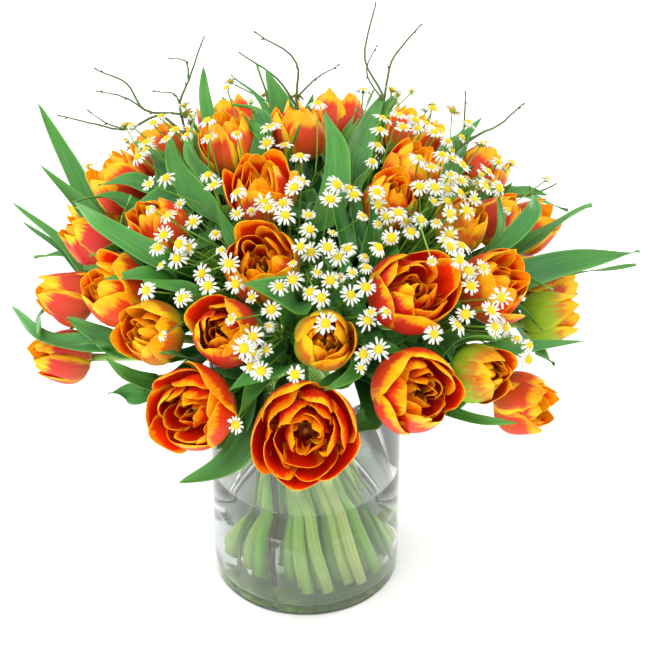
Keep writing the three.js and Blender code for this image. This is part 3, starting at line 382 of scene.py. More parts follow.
def upper_points(foot, waist, end, end_axis, steps):
    """From the waist on, a stem carries its lean on and then bends to meet its bloom squarely."""
    leaving, meeting = 0.32, 0.34
    span = np.linalg.norm(end - waist)
    first = waist + unit(waist - foot) * span * leaving
    second = end - end_axis * span * meeting
    points = []
    for k in range(1, steps + 1):
        t = k / steps
        s = 1 - t
        points.append(s**3 * waist + 3 * s * s * t * first + 3 * s * t * t * second + t**3 * end)
    return points


def lift_over_rim(points, radius):
    """Points over or outside the rim are kept above it."""
    out = np.hypot(points[:, 0], points[:, 1])
    low = VASE.height + radius + RIM_ROOM
    over = out > VASE.bore - radius - RIM_ROOM
    points[:, 2] = np.where(over, np.maximum(points[:, 2], low), points[:, 2])


def bend_clear(moving, still, blooms):
    """Strands that would run through each other, through a bloom or the rim are bent clear. The
    straight lower ends and what is fixed already stay where they are."""
    gain, bloom_gap, no_bloom = 0.6, 2, -1
    strands = moving + still
    starts = np.cumsum([0] + [len(strand.points) for strand in strands])
    points = np.vstack([strand.points for strand in strands])
    free = np.zeros(len(points), bool)
    radius = np.zeros(len(points))
    segments, owner, low, fixed, own_bloom = [], [], [], [], []
    owners = {}
    for n, strand in enumerate(strands):
        radius[starts[n]:starts[n + 1]] = strand.radius
        if n < len(moving):
            free[starts[n] + strand.free:starts[n + 1] - strand.held] = True
        for i in range(len(strand.points) - 1):
            segments.append(starts[n] + i)
            owner.append(owners.setdefault(strand.owner, len(owners)))
            low.append(i + 1 < strand.free)
            fixed.append(n >= len(moving))
            own_bloom.append(no_bloom if strand.bloom is None else strand.bloom)
    segments, owner, low, fixed = map(np.array, (segments, owner, low, fixed))
    a, b = np.triu_indices(len(segments), 1)
    keep = (owner[a] != owner[b]) & ~(low[a] & low[b]) & ~fixed[a]
    a, b = segments[a[keep]], segments[b[keep]]
    room = radius[a] + radius[b] + 2 * GAP
    c, d = np.meshgrid(np.arange(len(segments)), np.arange(len(blooms)), indexing="ij")
    ids = np.array([bloom.id for bloom in blooms])
    keep = (np.array(own_bloom)[c] != ids[d]) & ~low[c]
    c, d = segments[c[keep]], d[keep]
    tails = np.array([bloom.tail for bloom in blooms])[d]
    centres = np.array([bloom.centre for bloom in blooms])[d]
    bloom_room = np.array([bloom.size for bloom in blooms])[d] * BLOOM_ROOM + radius[c] + bloom_gap

    def push(moves, first, share, by, short):
        """Moves both ends of segments, each by its share."""
        np.add.at(moves, first, by * (gain * short * (1 - share))[:, None])
        np.add.at(moves, first + 1, by * (gain * short * share)[:, None])

    for _ in range(ROUNDS["strands"]):
        moves = np.zeros_like(points)
        s, t, apart = nearest(points[a], points[a + 1], points[b], points[b + 1])
        far = np.linalg.norm(apart, axis=1)
        hit = (room > far) & (far > TINY)
        by, short = apart[hit] / far[hit, None], (room - far)[hit]
        push(moves, a[hit], s[hit], by, short)
        push(moves, b[hit], t[hit], -by, short)
        s, t, apart = nearest(points[c], points[c + 1], tails, centres)
        far = np.linalg.norm(apart, axis=1)
        hit = (bloom_room > far) & (far > TINY)
        push(moves, c[hit], s[hit], apart[hit] / far[hit, None], (bloom_room - far)[hit])
        points[free] += moves[free]
        lifted = points[free]
        lift_over_rim(lifted, radius[free])
        points[free] = lifted
    for n, strand in enumerate(strands[:len(moving)]):
        strand.points = points[starts[n]:starts[n + 1]].copy()


def middle_of(rows):
    """The direction of the middle of several places on the dome, as a wish for a place in the
    waist."""
    centre = np.mean([dome_point(azimuth, angle) for azimuth, angle, *_ in rows], axis=0)
    out = math.hypot(centre[0], centre[1]) / DOME["across"]
    azimuth = math.degrees(math.atan2(centre[1], centre[0]))
    angle = math.degrees(math.atan2(out, (centre[2] - DOME["z"]) / DOME["up"]))
    return SimpleNamespace(azimuth=azimuth, angle=angle, thin=True)


def new_strand(points, radius, owner, free, held, **more):
    """A stem, stalk or twig. Its points are bent clear of others, but for those before free and,
    at its end, as many as are held. Strands of one owner may touch."""
    return SimpleNamespace(points=np.array(points), radius=radius, owner=owner, free=free,
                           held=held, bloom=None, **more)


def main_stem(wish, reach, owner):
    """A spray's or twig bunch's own stem, which ends inside the dome, where it branches."""
    foot, waist = lower_points(wish.place)
    end = dome_point(wish.azimuth, wish.angle, reach)
    upper = upper_points(foot, waist, end, unit(end - FOCUS), SPRAY["steps"])
    return new_strand([foot, waist, *upper], SPRAY["radius"], owner, free=2, held=0)


def lay_stems(blooms):
    """The stems of the tulips, of the sprays and of the twig bunches."""
    tulips = [SimpleNamespace(azimuth=bloom.azimuth, angle=bloom.angle, thin=False)
              for bloom in blooms]
    sprays = [middle_of(heads) for heads in SPRAYS]
    twigs = [middle_of([line["line"][0] for line in lines]) for lines in TWIGS]
    deal_places([*tulips, *sprays, *twigs])
    stems = [SimpleNamespace(bloom=bloom.id, place=wish.place, sector=sector_of(wish.place))
             for bloom, wish in zip(blooms, tulips)]
    press_sectors(stems)
    for stem, bloom in zip(stems, blooms):
        foot, waist = lower_points(stem.place)
        end = bloom.base - bloom.axis * GAP
        upper = upper_points(foot, waist, end, bloom.axis, STEM["steps"])
        stem.points = np.array([foot, waist, *upper])
        stem.radius, stem.owner = STEM["radius"], f"stem {stem.sector}"
        stem.free, stem.held = 2, 1
    spray_stems = [main_stem(wish, SPRAY["fork"], f"spray {i}") for i, wish in enumerate(sprays)]
    twig_stems = [main_stem(wish, TWIG["fork"], f"twig {i}") for i, wish in enumerate(twigs)]
    return stems, spray_stems, twig_stems


def point_along(points, share):
    """A strand's point at a share of its length, counted in its points."""
    place = share * (len(points) - 1)
    i = min(math.floor(place), len(points) - 2)
    return mix(points[i], points[i + 1], place - i)


def lay_heads(blooms, rows_of_sprays, settled=(), spread=0.04, space=1.0):
    """Daisy heads lie just above the dome, clear of the blooms and of each other."""
    bloom_gain, bloom_gap, head_gain, head_gap = 0.5, 0.5, 0.4, 1
    heads = [SimpleNamespace(spray=spray, k=k, centre=dome_point(
        azimuth, angle, SPRAY["reach"] + spread * draw(azimuth, angle)))
        for spray, rows in enumerate(rows_of_sprays) for k, (azimuth, angle) in enumerate(rows)]
    for _ in range(ROUNDS["heads"]):
        for head in heads:
            for bloom in blooms:
                line = bloom.centre - bloom.tail
                share = np.dot(head.centre - bloom.tail, line) / np.dot(line, line)
                apart = head.centre - bloom.tail - line * min(1, max(0, share))
                far = math.sqrt(np.dot(apart, apart))
                short = bloom.size * BLOOM_ROOM + SPRAY["ray"] + bloom_gap - far
                if short > 0:
                    head.centre = head.centre + apart * (short * bloom_gain / far)
            for other in (*heads, *settled):
                apart = head.centre - other.centre
                far = math.sqrt(np.dot(apart, apart))
                short = 2 * SPRAY["ray"] * space + head_gap - far
                if other is not head and short > 0:
                    head.centre = head.centre + apart * (short * head_gain / far)
    return heads


def with_mates(rows_of_sprays):
    """Each head and a second one close by, so that the heads stand in little groups."""
    far, least_squeeze, least_angle = (5.0, 9.0), 0.25, 4
    crowded = []
    for rows in rows_of_sprays:
        mates = []
        for azimuth, angle in rows:
            round_by = 2 * math.pi * draw(azimuth, angle + 50)
            away = mix(*far, draw(azimuth, angle + 70))
            squeeze = max(least_squeeze, math.sin(math.radians(angle)))
            mates.append([azimuth + away * math.cos(round_by) / squeeze,
                          max(least_angle, angle + away * math.sin(round_by))])
        crowded.append(rows + mates)
    return crowded


def lay_stalks(spray_stems, heads, counts):
    """A stalk runs from the upper part of its spray's stem over a knee to its head."""
    roots, knee_share, sag = (0.7, 0.98), 0.62, 0.12
    stalks = []
    for head in heads:
        share = mix(*roots, min(1, head.k / counts[head.spray]))
        start = point_along(spray_stems[head.spray].points, share)
        bend = sag * np.linalg.norm(start - head.centre)
        knee = mix(start, head.centre, knee_share) - unit(head.centre - FOCUS) * bend
        stalks.append(new_strand([start, knee, head.centre], SPRAY["stalk"],
                                 f"spray {head.spray}", free=1, held=1, spray=head.spray))
    return stalks


def lay_twigs(twig_stems):
    """A twig's line runs from its bunch's stem to its tip, and its side shoots start on it."""
    roots, bow = (0.62, 0.98), 0.25
    twigs = []
    for bunch, lines in enumerate(TWIGS):
        owner = f"twig {bunch}"
        for k, line in enumerate(lines):
            start = point_along(twig_stems[bunch].points, mix(*roots, k / len(lines)))
            outer = [dome_point(*place) for place in line["line"]]
            whole = new_strand([start, *outer], TWIG["line"], owner, free=1,
                               held=len(outer) - 1, bunch=bunch)
            twigs.append(whole)
            for from_point, *place in line["sides"]:
                tip, root = dome_point(*place), outer[from_point]
                knee = mix(mix(root, tip, 0.5), outer[from_point + 1], bow)
                twigs.append(new_strand([root, knee, tip], TWIG["tip"], owner, free=3, held=0,
                                        bunch=bunch, line=whole, place=from_point + 1))
    return twigs


def join_shoots(twigs):
    """A side shoot starts where its line has been bent to."""
    for twig in twigs:
        if twig.free == 3:
            twig.points[0] = twig.line.points[twig.place]


def nearest_stem(stems, target):
    """The place on a tulip stem above the rim that is nearest to the target."""
    best = (math.inf, None, None)
    for stem in stems:
        points = stem.points
        for i in range(1, len(points) - 2):
            line = points[i + 1] - points[i]
            share = min(1, max(0, np.dot(target - points[i], line) / np.dot(line, line)))
            root = points[i] + line * share
            far = np.linalg.norm(target - root)
            if far < best[0] and root[2] > VASE.height + LEAF["over_rim"]:
                best = (far, stem, root)
    return best[1], best[2]


def clear_line(points, froms, tos, rooms):
    """The inner points of a line are pushed until it keeps its room from each segment."""
    gain = 0.4
    for _ in range(ROUNDS["leaves"]):
        for i in range(len(points) - 1):
            p, q = points[i][None], points[i + 1][None]
            s, _, apart = nearest(p, q, froms, tos)
            far = np.linalg.norm(apart, axis=1)
            short = rooms - far
            hit = (short > 0) & (far > TINY)
            if not hit.any():
                continue
            by = apart[hit] / far[hit, None] * (short[hit] * gain)[:, None]
            if i > 0:
                points[i] += (by * (1 - s[hit])[:, None]).sum(0)
            if i + 2 < len(points):
                points[i + 1] += (by * s[hit][:, None]).sum(0)
        inner = points[1:-1]
        lift_over_rim(inner, LEAF["rim_room"])
        points[1:-1] = inner
    return points


def lay_leaves(rows, stems, blooms, strands, heads, laid):
    """A leaf grows from the nearest tulip stem, comes out among the blooms at its shoulder and
    arches out to its tip."""
    bloom_gap, strand_gap = 1.5, 2
    for tip_azimuth, tip_angle, reach, azimuth, angle, width in rows:
        shoulder = dome_point(azimuth, angle, LEAF["shoulder"])
        stem, root = nearest_stem(stems, dome_point(azimuth, angle, LEAF["root"]))
        tip = dome_point(tip_azimuth, tip_angle, reach)
        arch = LEAF["arch"] * np.linalg.norm(tip - shoulder)
        belly = mix(shoulder, tip, LEAF["belly"]) + np.array([0, 0, arch])
        points = np.array([root, shoulder, belly, tip])
        wide = width * LEAF["bloom"] + bloom_gap
        segments = [(bloom.tail, bloom.centre, bloom.size * BLOOM_ROOM + wide) for bloom in blooms]
        segments += [(head.centre, head.centre + 0.01, SPRAY["ray"] + width * LEAF["head"])
                     for head in heads]
        for strand in strands:
            if strand is not stem:
                room = strand.radius + strand_gap + width * LEAF["strand"]
                line = strand.points[1:]
                segments += [(p, q, room) for p, q in zip(line, line[1:])]
        for leaf in laid:
            room = LEAF["thick"] + (width + leaf.width) * LEAF["leaf"]
            segments += [(p, q, room) for p, q in zip(leaf.points, leaf.points[1:])]
        froms, tos, rooms = (np.array(column) for column in zip(*segments))
        laid.append(SimpleNamespace(
            id=len(laid), points=clear_line(points, froms, tos, rooms), width=width, stem=stem,
            azimuth=tip_azimuth))


def more_leaves():
    """Further leaves, dealt evenly round the bunch: many among the blooms, which stay short where
    the camera sees them, and a few wide ones deep behind the blooms."""
    many, few, seen_side, seen_top = 76, 26, 75, 40
    rows = []
    for k in range(many):
        azimuth = (k * GOLDEN_ANGLE) % 360 - 180
        angle = mix(6, 99, math.sqrt((k + 0.5) / many))
        seen = abs(azimuth + 90) < seen_side or angle < seen_top
        reach = mix(*((0.86, 0.92) if seen else (0.92, 1.08)), draw(k, 22))
        lean, droop, width = mix(-16, 16, draw(k, 21)), 6 * draw(k, 24), mix(18, 28, draw(k, 23))
        rows.append([azimuth + lean, angle + droop, reach, azimuth, angle - 4, width])
    for k in range(few):
        azimuth = (k * GOLDEN_ANGLE + 60) % 360 - 180
        angle = mix(8, 74, (k + 0.5) / few)
        reach, width = mix(0.72, 0.82, draw(k, 25)), mix(28, 36, draw(k, 26))
        rows.append([azimuth, angle, reach, azimuth, angle - 3, width])
    return rows


def straighten(leaves):
    """A leaf whose tip would hang back from its belly is drawn out, towards the camera, and its
    belly is eased towards the line from shoulder to tip."""
    beyond, step, most_steps, ease = 0.07, 3.0, 9, 0.35
    elevation = math.radians(CAMERA["elevation"])
    ahead = unit(np.array([0.0, -math.cos(elevation), math.sin(elevation)]))

    def reach_of(point):
        """The size of the dome that the point lies on."""
        return np.linalg.norm((point - (0, 0, DOME["z"]))
                              / (DOME["across"], DOME["across"], DOME["up"]))

    for leaf in leaves:
        _, shoulder, belly, tip = leaf.points
        for _ in range(most_steps):
            if reach_of(tip) >= reach_of(belly) + beyond:
                break
            tip = tip + ahead * step
        leaf.points[3] = tip
        leaf.points[2] = mix(belly, mix(shoulder, tip, 0.5), ease)


# ---------------------------------------------------------------- meshes

def rise(x, low, high):
    """A smooth step from 0 at low to 1 at high."""
    t = np.clip((x - low) / (high - low), 0, 1)
    return t * t * (3 - 2 * t)


def stacked(*values):
    """Several values for every point of a grid, side by side."""
    return np.stack(np.broadcast_arrays(*values), -1).astype(float)


def counted(name, index):
    """The name of the piece or node with that index, counted from one."""
    return f"{name}_{index + 1:02d}"


class Sculpt:
    """The points, faces and painted values of one piece. Each point has two rows of values that
    the materials read: paint, four numbers such as how near the edge it is, how far along, on
    which side and a chance of its own; and place, its position on the piece in centimetres."""

    def __init__(self):
        self.points, self.faces, self.flat, self.paint, self.place = [], [], [], [], []
        self.count = 0

    def add(self, points, paint, place):
        """Adds points and tells the number of the first."""
        first = self.count
        points = np.asarray(points, float).reshape(-1, 3)
        self.points.append(points)
        self.paint.append(np.broadcast_to(np.asarray(paint, float), (len(points), 4)))
        self.place.append(np.broadcast_to(np.asarray(place, float), (len(points), 3)))
        self.count += len(points)
        return first

    def face(self, corners, flat=False):
        """Adds faces, each a list of the numbers of its corners."""
        self.faces += corners
        self.flat += [flat] * len(corners)

    def shell(self, grid, thick, paint, place):
        """A thin curved sheet from a grid of rows and columns. Its outer side is the one that the
        rows' direction crossed with the columns' points away from; paint's third value tells the
        sides apart, with 0 outside and 1 inside."""
        rows, columns = grid.shape[:2]
        normal = np.cross(np.gradient(grid, axis=1), np.gradient(grid, axis=0))
        normal /= np.linalg.norm(normal, axis=2, keepdims=True) + 1e-12
        index = np.arange(rows * columns).reshape(rows, columns)
        quads = np.stack([index[:-1, :-1], index[:-1, 1:], index[1:, 1:], index[1:, :-1]], -1)
        quads = quads.reshape(-1, 4)
        loop = np.concatenate([index[0, :-1], index[:-1, -1], index[-1, :0:-1], index[:0:-1, 0]])
        thick = np.broadcast_to(thick, (rows, columns))[..., None] / 2
        outer_paint, inner_paint = paint.copy(), paint.copy()
        outer_paint[..., 2], inner_paint[..., 2] = 0, 1
        place = place.reshape(-1, 3)
        outer = self.add(grid + normal * thick, outer_paint.reshape(-1, 4), place)
        inner = self.add(grid - normal * thick, inner_paint.reshape(-1, 4), place)
        self.face((quads + outer).tolist())
        self.face((quads[:, ::-1] + inner).tolist())
        ahead = np.roll(loop, -1)
        rim = np.stack([ahead + outer, loop + outer, loop + inner, ahead + inner], -1)
        self.face(rim.tolist(), flat=True)

    def tube(self, path, radii, sides, paint, across=1.0):
        """A tube with flat ends. paint is one row for each point of the path, and across is how
        wide its section is in its second direction."""
        path = np.asarray(path, float)
        radii = np.broadcast_to(np.asarray(radii, float), len(path))
        tangents = unit(np.gradient(path, axis=0))
        normal = np.array([1.0, 0.0, 0.0])
        if abs(tangents[0][0]) > 0.9:
            normal = np.array([0.0, 1.0, 0.0])
        angles = np.arange(sides) * 2 * math.pi / sides
        rings = []
        for centre, tangent, radius in zip(path, tangents, radii):
            normal = unit(normal - tangent * np.dot(normal, tangent))
            binormal = np.cross(tangent, normal)
            rings.append(centre + radius * (np.cos(angles)[:, None] * normal
                                            + across * np.sin(angles)[:, None] * binormal))
        length = np.concatenate([[0], np.cumsum(np.linalg.norm(np.diff(path, axis=0), axis=1))])
        place = np.stack([
            np.tile(np.cos(angles), len(path)), np.repeat(length / 10, sides),
            np.tile(np.sin(angles), len(path))], -1)
        paint = np.broadcast_to(np.asarray(paint, float), (len(path), 4))
        first = self.add(np.vstack(rings), np.repeat(paint, sides, axis=0), place)
        index = first + np.arange(len(path) * sides).reshape(len(path), sides)
        ahead = np.roll(index, -1, axis=1)
        quads = np.stack([index[:-1], ahead[:-1], ahead[1:], index[1:]], -1).reshape(-1, 4)
        self.face(quads.tolist())
        self.face([index[0, ::-1].tolist(), index[-1].tolist()], flat=True)

    def lathe(self, centre, axis, profile, sides, paint):
        """A turned solid whose profile, as distances out and up, starts and ends on the axis."""
        x, y = cross_axes(axis)
        angles = np.arange(sides) * 2 * math.pi / sides
        spokes = np.cos(angles)[:, None] * x + np.sin(angles)[:, None] * y
        paint = np.broadcast_to(np.asarray(paint, float), (len(profile), 4))
        rings = []
        for (out, up), row in zip(profile, paint):
            if out < TINY:
                ring = [self.add(centre + axis * up, row, (0, 0, up / 10))] * sides
            else:
                place = np.stack([out * np.cos(angles), out * np.sin(angles),
                                  np.full(sides, up)], -1) / 10
                first = self.add(centre + axis * up + spokes * out, row, place)
                ring = list(range(first, first + sides))
            rings.append(ring)
        for low, high in zip(rings, rings[1:]):
            for k in range(sides):
                after = (k + 1) % sides
                corners = [low[k], low[after], high[after], high[k]]
                self.face([list(dict.fromkeys(corners))])

    def piece(self, name, material, slot, *nodes):
        """Makes the object, which rides on the root and stands for the nodes."""
        mesh = bpy.data.meshes.new(name)
        points = np.concatenate(self.points) * MM
        mesh.from_pydata(points.tolist(), [], self.faces)
        paint = mesh.attributes.new("paint", "FLOAT_COLOR", "POINT")
        paint.data.foreach_set("color", np.concatenate(self.paint).astype(np.float32).ravel())
        place = mesh.attributes.new("place", "FLOAT_VECTOR", "POINT")
        place.data.foreach_set("vector", np.concatenate(self.place).astype(np.float32).ravel())
        mesh.polygons.foreach_set("use_smooth", ~np.array(self.flat, bool))
        mesh.materials.append(material)
        mesh.update()
        piece = bpy.data.objects.new(name, mesh)
        bpy.context.scene.collection.objects.link(piece)
        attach(piece, "root")
        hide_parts(*nodes)
        return piece


# ---------------------------------------------------------------- tulips

# A whorl's petals: how many, how far round they start, size, height, half-width in degrees, the
# distance of their tips from the axis when shut and when open, in bloom sizes, the rows and
# columns of their points, and how far the yellow of their margins spreads.
WHORLS = [
    {"count": 5, "turn": 0.0, "size": 0.96, "tall": 0.92, "half": 47, "tips": (0.22, 0.52),
     "grid": (15, 13), "gold": 0.0},
    {"count": 5, "turn": 0.5, "size": 0.86, "tall": 0.96, "half": 44, "tips": (0.15, 0.42),
     "grid": (15, 13), "gold": 0.0},
    {"count": 5, "turn": 0.2, "size": 0.7, "tall": 0.93, "half": 43, "tips": (0.1, 0.3),
     "grid": (13, 11), "gold": 0.04},
    {"count": 4, "turn": 0.7, "size": 0.5, "tall": 0.84, "half": 50, "tips": (0.06, 0.15),
     "grid": (11, 9), "gold": 0.08},
    {"count": 4, "turn": 0.3, "size": 0.36, "tall": 0.7, "half": 52, "tips": (0.05, 0.16),
     "grid": (10, 7), "gold": 0.3},
]
MIDDLE = 3  # the whorl from which petals are shaped as inner ones

# A petal's form. Pairs are for outer and inner petals, but for the belly's, which are for shut and
# open ones, and those of point and beat, which are the least and the most. Lengths are shares of
# the bloom's size or, upwards, of its height, and thick alone is in millimetres.
PETAL = {
    "full": 0.95, "foot_out": (0.13, 0.05), "foot_up": (0.02, 0.1), "belly_out": (0.84, 0.66),
    "belly_up": (0.14, 0.05), "opening": (0.24, 0.14), "point": (0.42, 1.0), "arch": 0.045,
    "tear": 0.03, "nick": 0.004, "cup": (0.1, 0.2), "lap": 0.022, "curl": 0.055, "shut": 0.06,
    "flare": 0.5, "wave": (0.038, 0.056), "beat": (1.2, 2.2), "thick": 0.75, "thin": 0.55,
}


def petal_tip(v, point):
    """How far a petal has drawn in towards its tip: 1 up to the shoulder, and 0 at the end."""
    return np.clip(1 - (np.clip(v - 0.55, 0, None) / 0.452) ** 2.5, 0, 1) ** point


def petal_width(v, point):
    """A petal's width along it, as a share of the widest: narrow foot, full shoulder, and a tip
    that is round where the point is half or less, and pointed where it is one."""
    return (0.4 + 0.6 * rise(v, 0.0, 0.6)) * petal_tip(v, point)


def add_petal(sculpt, bloom, whorl, level, k, random):
    """One petal: a curve from the heart over the belly to the tip, swept round the bloom's axis
    and cupped, with its margins waved and torn. v runs from foot to tip and u from side to side."""
    size, height = bloom.size * PETAL["full"], bloom.height
    mark = bloom.id * len(WHORLS) + level
    inner = min(level / MIDDLE, 1)

    # the curve, as distances out and up
    openness = np.clip(bloom.open + mix(*PETAL["opening"], inner) * random.normal(), 0, 1.05)
    tall = whorl["tall"] * (1 - 0.14 * inner * (1 - openness)) * (1 + 0.07 * random.normal())
    foot = (mix(*PETAL["foot_out"], inner) * size, mix(*PETAL["foot_up"], inner) * height)
    belly = (whorl["size"] * size * mix(*PETAL["belly_out"], openness),
             height * mix(*PETAL["belly_up"], openness) * tall)
    tip = (mix(*whorl["tips"], openness) * size, height * tall)
    rows, columns = whorl["grid"]
    v = np.sin(np.linspace(0, math.pi / 2, rows))[:, None]
    u = np.linspace(-1, 1, columns)[None, :]
    tear = PETAL["tear"] * random.normal(size=(rows, 2)) * rise(v, 0.35, 0.9)
    nick = PETAL["nick"] * random.normal(size=(1, columns))
    point = mix(*PETAL["point"], draw(mark, 71 + k) ** 1.4)
    across = u * petal_tip(v, point)
    bend = v - PETAL["arch"] * across**2 * v**3 + nick * v**6
    out, up = ((1 - bend) ** 2 * first + 2 * bend * (1 - bend) * second + bend**2 * third
               for first, second, third in zip(foot, belly, tip))

    # how wide it is and which way it faces
    half = math.radians(whorl["half"]) * (1 + 0.1 * random.normal())
    width = petal_width(v, point) * (1 + np.where(u < 0, tear[:, :1], tear[:, 1:]))
    middle = 2 * math.pi * (k + whorl["turn"]) / whorl["count"] + 0.1 * random.normal()
    skew = 0.12 * random.normal()
    spare = np.minimum((out.max() / np.maximum(out[:, columns // 2], 0.05 * size)) ** 0.55, 1.7)
    angle = middle + half * width * u * spare[:, None] + skew * v**2

    # cupped, lapped over its neighbour, curled at the tip and waved
    cup = mix(*PETAL["cup"], inner) * (1 + 0.4 * random.normal())
    lap = PETAL["lap"] * size * (1 if random.random() < 0.8 else -1)
    curl = size * (PETAL["curl"] * random.normal() * (0.5 + inner) - mix(PETAL["shut"], 0, openness))
    flare = max(draw(mark, 81 + k) - 0.55, 0) * (1 - inner) * openness
    curl = curl + PETAL["flare"] * flare * size
    wave = size * mix(*PETAL["wave"], inner) * rise(v, 0.25, 1.0)
    phase, beat = 2 * math.pi * random.random(), mix(*PETAL["beat"], random.random())
    ripple = np.sin(2 * math.pi * beat * v + phase + 1.7 * across) * np.abs(across) ** 1.5
    fine = 0.45 * np.sin(2 * math.pi * 3.7 * v + 4.3 * across + 2 * phase) * across**2
    crest = 0.5 * np.sin(3.4 * across + phase) * rise(v, 0.7, 1.0)
    out = out - cup * out * across**2 * rise(v, 0.05, 0.6) + lap * across * rise(v, 0.05, 0.5)
    out = out + curl * v**3 * (0.3 + across**2) + wave * (ripple + fine + crest)
    out = np.maximum(out, 0.02 * size)
    up = up + 0.6 * wave * np.cos(2 * math.pi * beat * v + phase) * np.abs(across) ** 1.5
    x, y = cross_axes(bloom.axis, bloom.turn)
    grid = (bloom.base + (out * np.cos(angle))[..., None] * x + (out * np.sin(angle))[..., None] * y
            + up[..., None] * bloom.axis)
    edge = np.maximum(np.abs(u) ** 1.2, rise(v, 0.62, 1.02))
    margin = np.clip(edge + whorl["gold"] * rise(v, 0.1, 0.5), 0, 1)
    number = bloom.id * 3.1 + level * 1.7 + k * 0.53
    thick = PETAL["thick"] * (1 - PETAL["thin"] * edge)
    sculpt.shell(grid, thick, stacked(margin, v, 0.0, random.random()),
                 stacked(u * width * half * size / 20, v * height / 10, number))


def add_heart(sculpt, bloom, random):
    """The green seat of the petals, and the pistil and stamens in the middle."""
    size, base, axis = bloom.size, bloom.base, bloom.axis
    seat = [(0, -0.3), (3.2, -0.3), (0.1 * size, 0.03 * size), (0.13 * size, 0.09 * size),
            (0.08 * size, 0.16 * size), (0, 0.17 * size)]
    sculpt.lathe(base, axis, seat, SIDES["stem"], (0.2, 0.02, 0, 0.5))
    stamens, top = 6, base + axis * 0.42 * bloom.height
    pistil = smooth_line([base + axis * 0.1 * size, mix(base, top, 0.6), top], 3)
    radii = np.linspace(0.04, 0.025, len(pistil)) * size
    sculpt.tube(pistil, radii, SIDES["stalk"], (0, 0, 0, 0.3))
    x, y = cross_axes(axis, bloom.turn)
    for k in range(stamens):
        angle = 2 * math.pi * k / stamens + 0.3 * random.normal()
        side = x * math.cos(angle) + y * math.sin(angle)
        foot = base + axis * 0.12 * size + side * 0.05 * size
        head = base + axis * (0.38 + 0.05 * random.normal()) * bloom.height + side * 0.11 * size
        line = smooth_line([foot, mix(foot, head, 0.5) + side * 0.01 * size, head], 3)
        radii = np.array([0.01, 0.01, 0.01, 0.012, 0.03, 0.032, 0.012]) * size
        sculpt.tube(line, radii, SIDES["stamen"], (0, 0, 1, 0.1))


def add_tulips(blooms, material):
    """A piece for each bloom, which carries its own tint. Blooms are counted from one in TINTS."""
    for bloom in blooms:
        random = dice("tulip", bloom.id)
        sculpt = Sculpt()
        for level, whorl in enumerate(WHORLS):
            for k in range(whorl["count"]):
                add_petal(sculpt, bloom, whorl, level, k, random)
        add_heart(sculpt, bloom, random)
        piece = sculpt.piece(counted("tulip", bloom.id), material, "petal",
                             counted("bloom", bloom.id))
        tint = piece.data.attributes.new("tint", "FLOAT_COLOR", "POINT")
        own = [share * mix(0.3, 1.8, draw(bloom.id, 61 + i)) for i, share in enumerate(PLAIN_TINT)]
        values = (*TINTS.get(bloom.id + 1, own), 1.0)
        tint.data.foreach_set("color", np.tile(np.array(values, np.float32), sculpt.count))


# ---------------------------------------------------------------- stems and leaves

def add_stems(stems, material):
    """The tulip stems, a piece for each group of them, thick at their cut ends and pale where they
    stand in the water, partly by their own colour and partly by painted light.
    """
    narrows, uneven = (90, 250), 0.04
    for sector in range(STEM_GROUPS):
        sculpt = Sculpt()
        for stem in stems:
            if stem.sector != sector:
                continue
            line = smooth_line(stem.points, 7)
            share = np.linspace(0, 1, len(line))
            radii = mix(STEM["foot"], STEM["neck"], rise(line[:, 2], *narrows))
            radii = radii * (1 + uneven * np.sin(share * 19 + stem.bloom))
            # marks where a stem stands in the water, which the material paints paler: partly the
            # stem's own colour, partly painted light
            in_water = 1 - rise(line[:, 2], VASE.water - 4, VASE.height)
            paint = stacked(in_water, share, 0.0, draw(stem.bloom, 31))
            sculpt.tube(line, radii, SIDES["stem"], paint)
        sculpt.piece(counted("stems", sector), material, "leaf", counted("leafy_stems", sector))


# A leaf's blade: the steps in each stretch of its line and the points across it; how far it faces
# out and up; how much it turns, folds and waves; and its thickness and what it loses of it.
BLADE = {
    "steps": 8, "columns": 9, "facing": (0.55, 0.85), "turn": 0.5, "fold": (0.42, 0.26),
    "wave": 0.09, "beat": (1.3, 2.1), "thick": 0.9, "thin": 0.6,
}


def leaf_width(v):
    """A leaf's width along it: a clasping foot, widest before its middle, a long sharp tip."""
    return 1.8 * (v + 0.1) ** 0.45 * (1 - v) ** 0.85 + 0.008


def add_leaf(sculpt, leaf):
    """A strap folded up along its middle, waved along its edges and turned a little."""
    line = smooth_line(leaf.points, BLADE["steps"])
    random = dice("leaf", leaf.id)
    facing, (out, up) = math.radians(leaf.azimuth), BLADE["facing"]
    sky = np.array([out * math.cos(facing), out * math.sin(facing), up])
    along = unit(np.gradient(line, axis=0))
    across = unit(np.cross(along, sky))
    share = np.linspace(0, 1, len(line))
    turn = BLADE["turn"] * (draw(leaf.id, 11) - 0.5) + BLADE["turn"] * random.normal() * share**2
    normal = np.cross(across, along)
    cos, sin = np.cos(turn)[:, None], np.sin(turn)[:, None]
    across, normal = across * cos + normal * sin, normal * cos - across * sin
    v = share[:, None]
    u = np.linspace(-1, 1, BLADE["columns"])[None, :]
    half = leaf.width / 2 * leaf_width(v)
    fold = mix(*BLADE["fold"], v) * half * np.abs(u) ** 1.4 * (1 + 0.25 * random.normal())
    phase, beat = 2 * math.pi * random.random(), mix(*BLADE["beat"], random.random())
    wave = BLADE["wave"] * leaf.width * rise(v, 0.15, 0.6) * np.abs(u) ** 2 * np.sin(
        2 * math.pi * beat * v + phase + 0.9 * np.sign(u))
    grid = (line[:, None] + across[:, None] * (half * u)[..., None]
            + normal[:, None] * (fold + wave)[..., None])
    edge = np.abs(u)
    length = np.linalg.norm(np.diff(line, axis=0), axis=1).sum()
    paint = stacked(edge, v, 0.0, random.random())
    place = stacked(u * leaf.width / 20, v * length / 10, leaf.id * 2.3)
    thick = BLADE["thick"] * (1 - BLADE["thin"] * edge) * (1 - BLADE["thin"] * v)
    sculpt.shell(grid[:, ::-1], thick, paint[:, ::-1], place[:, ::-1])


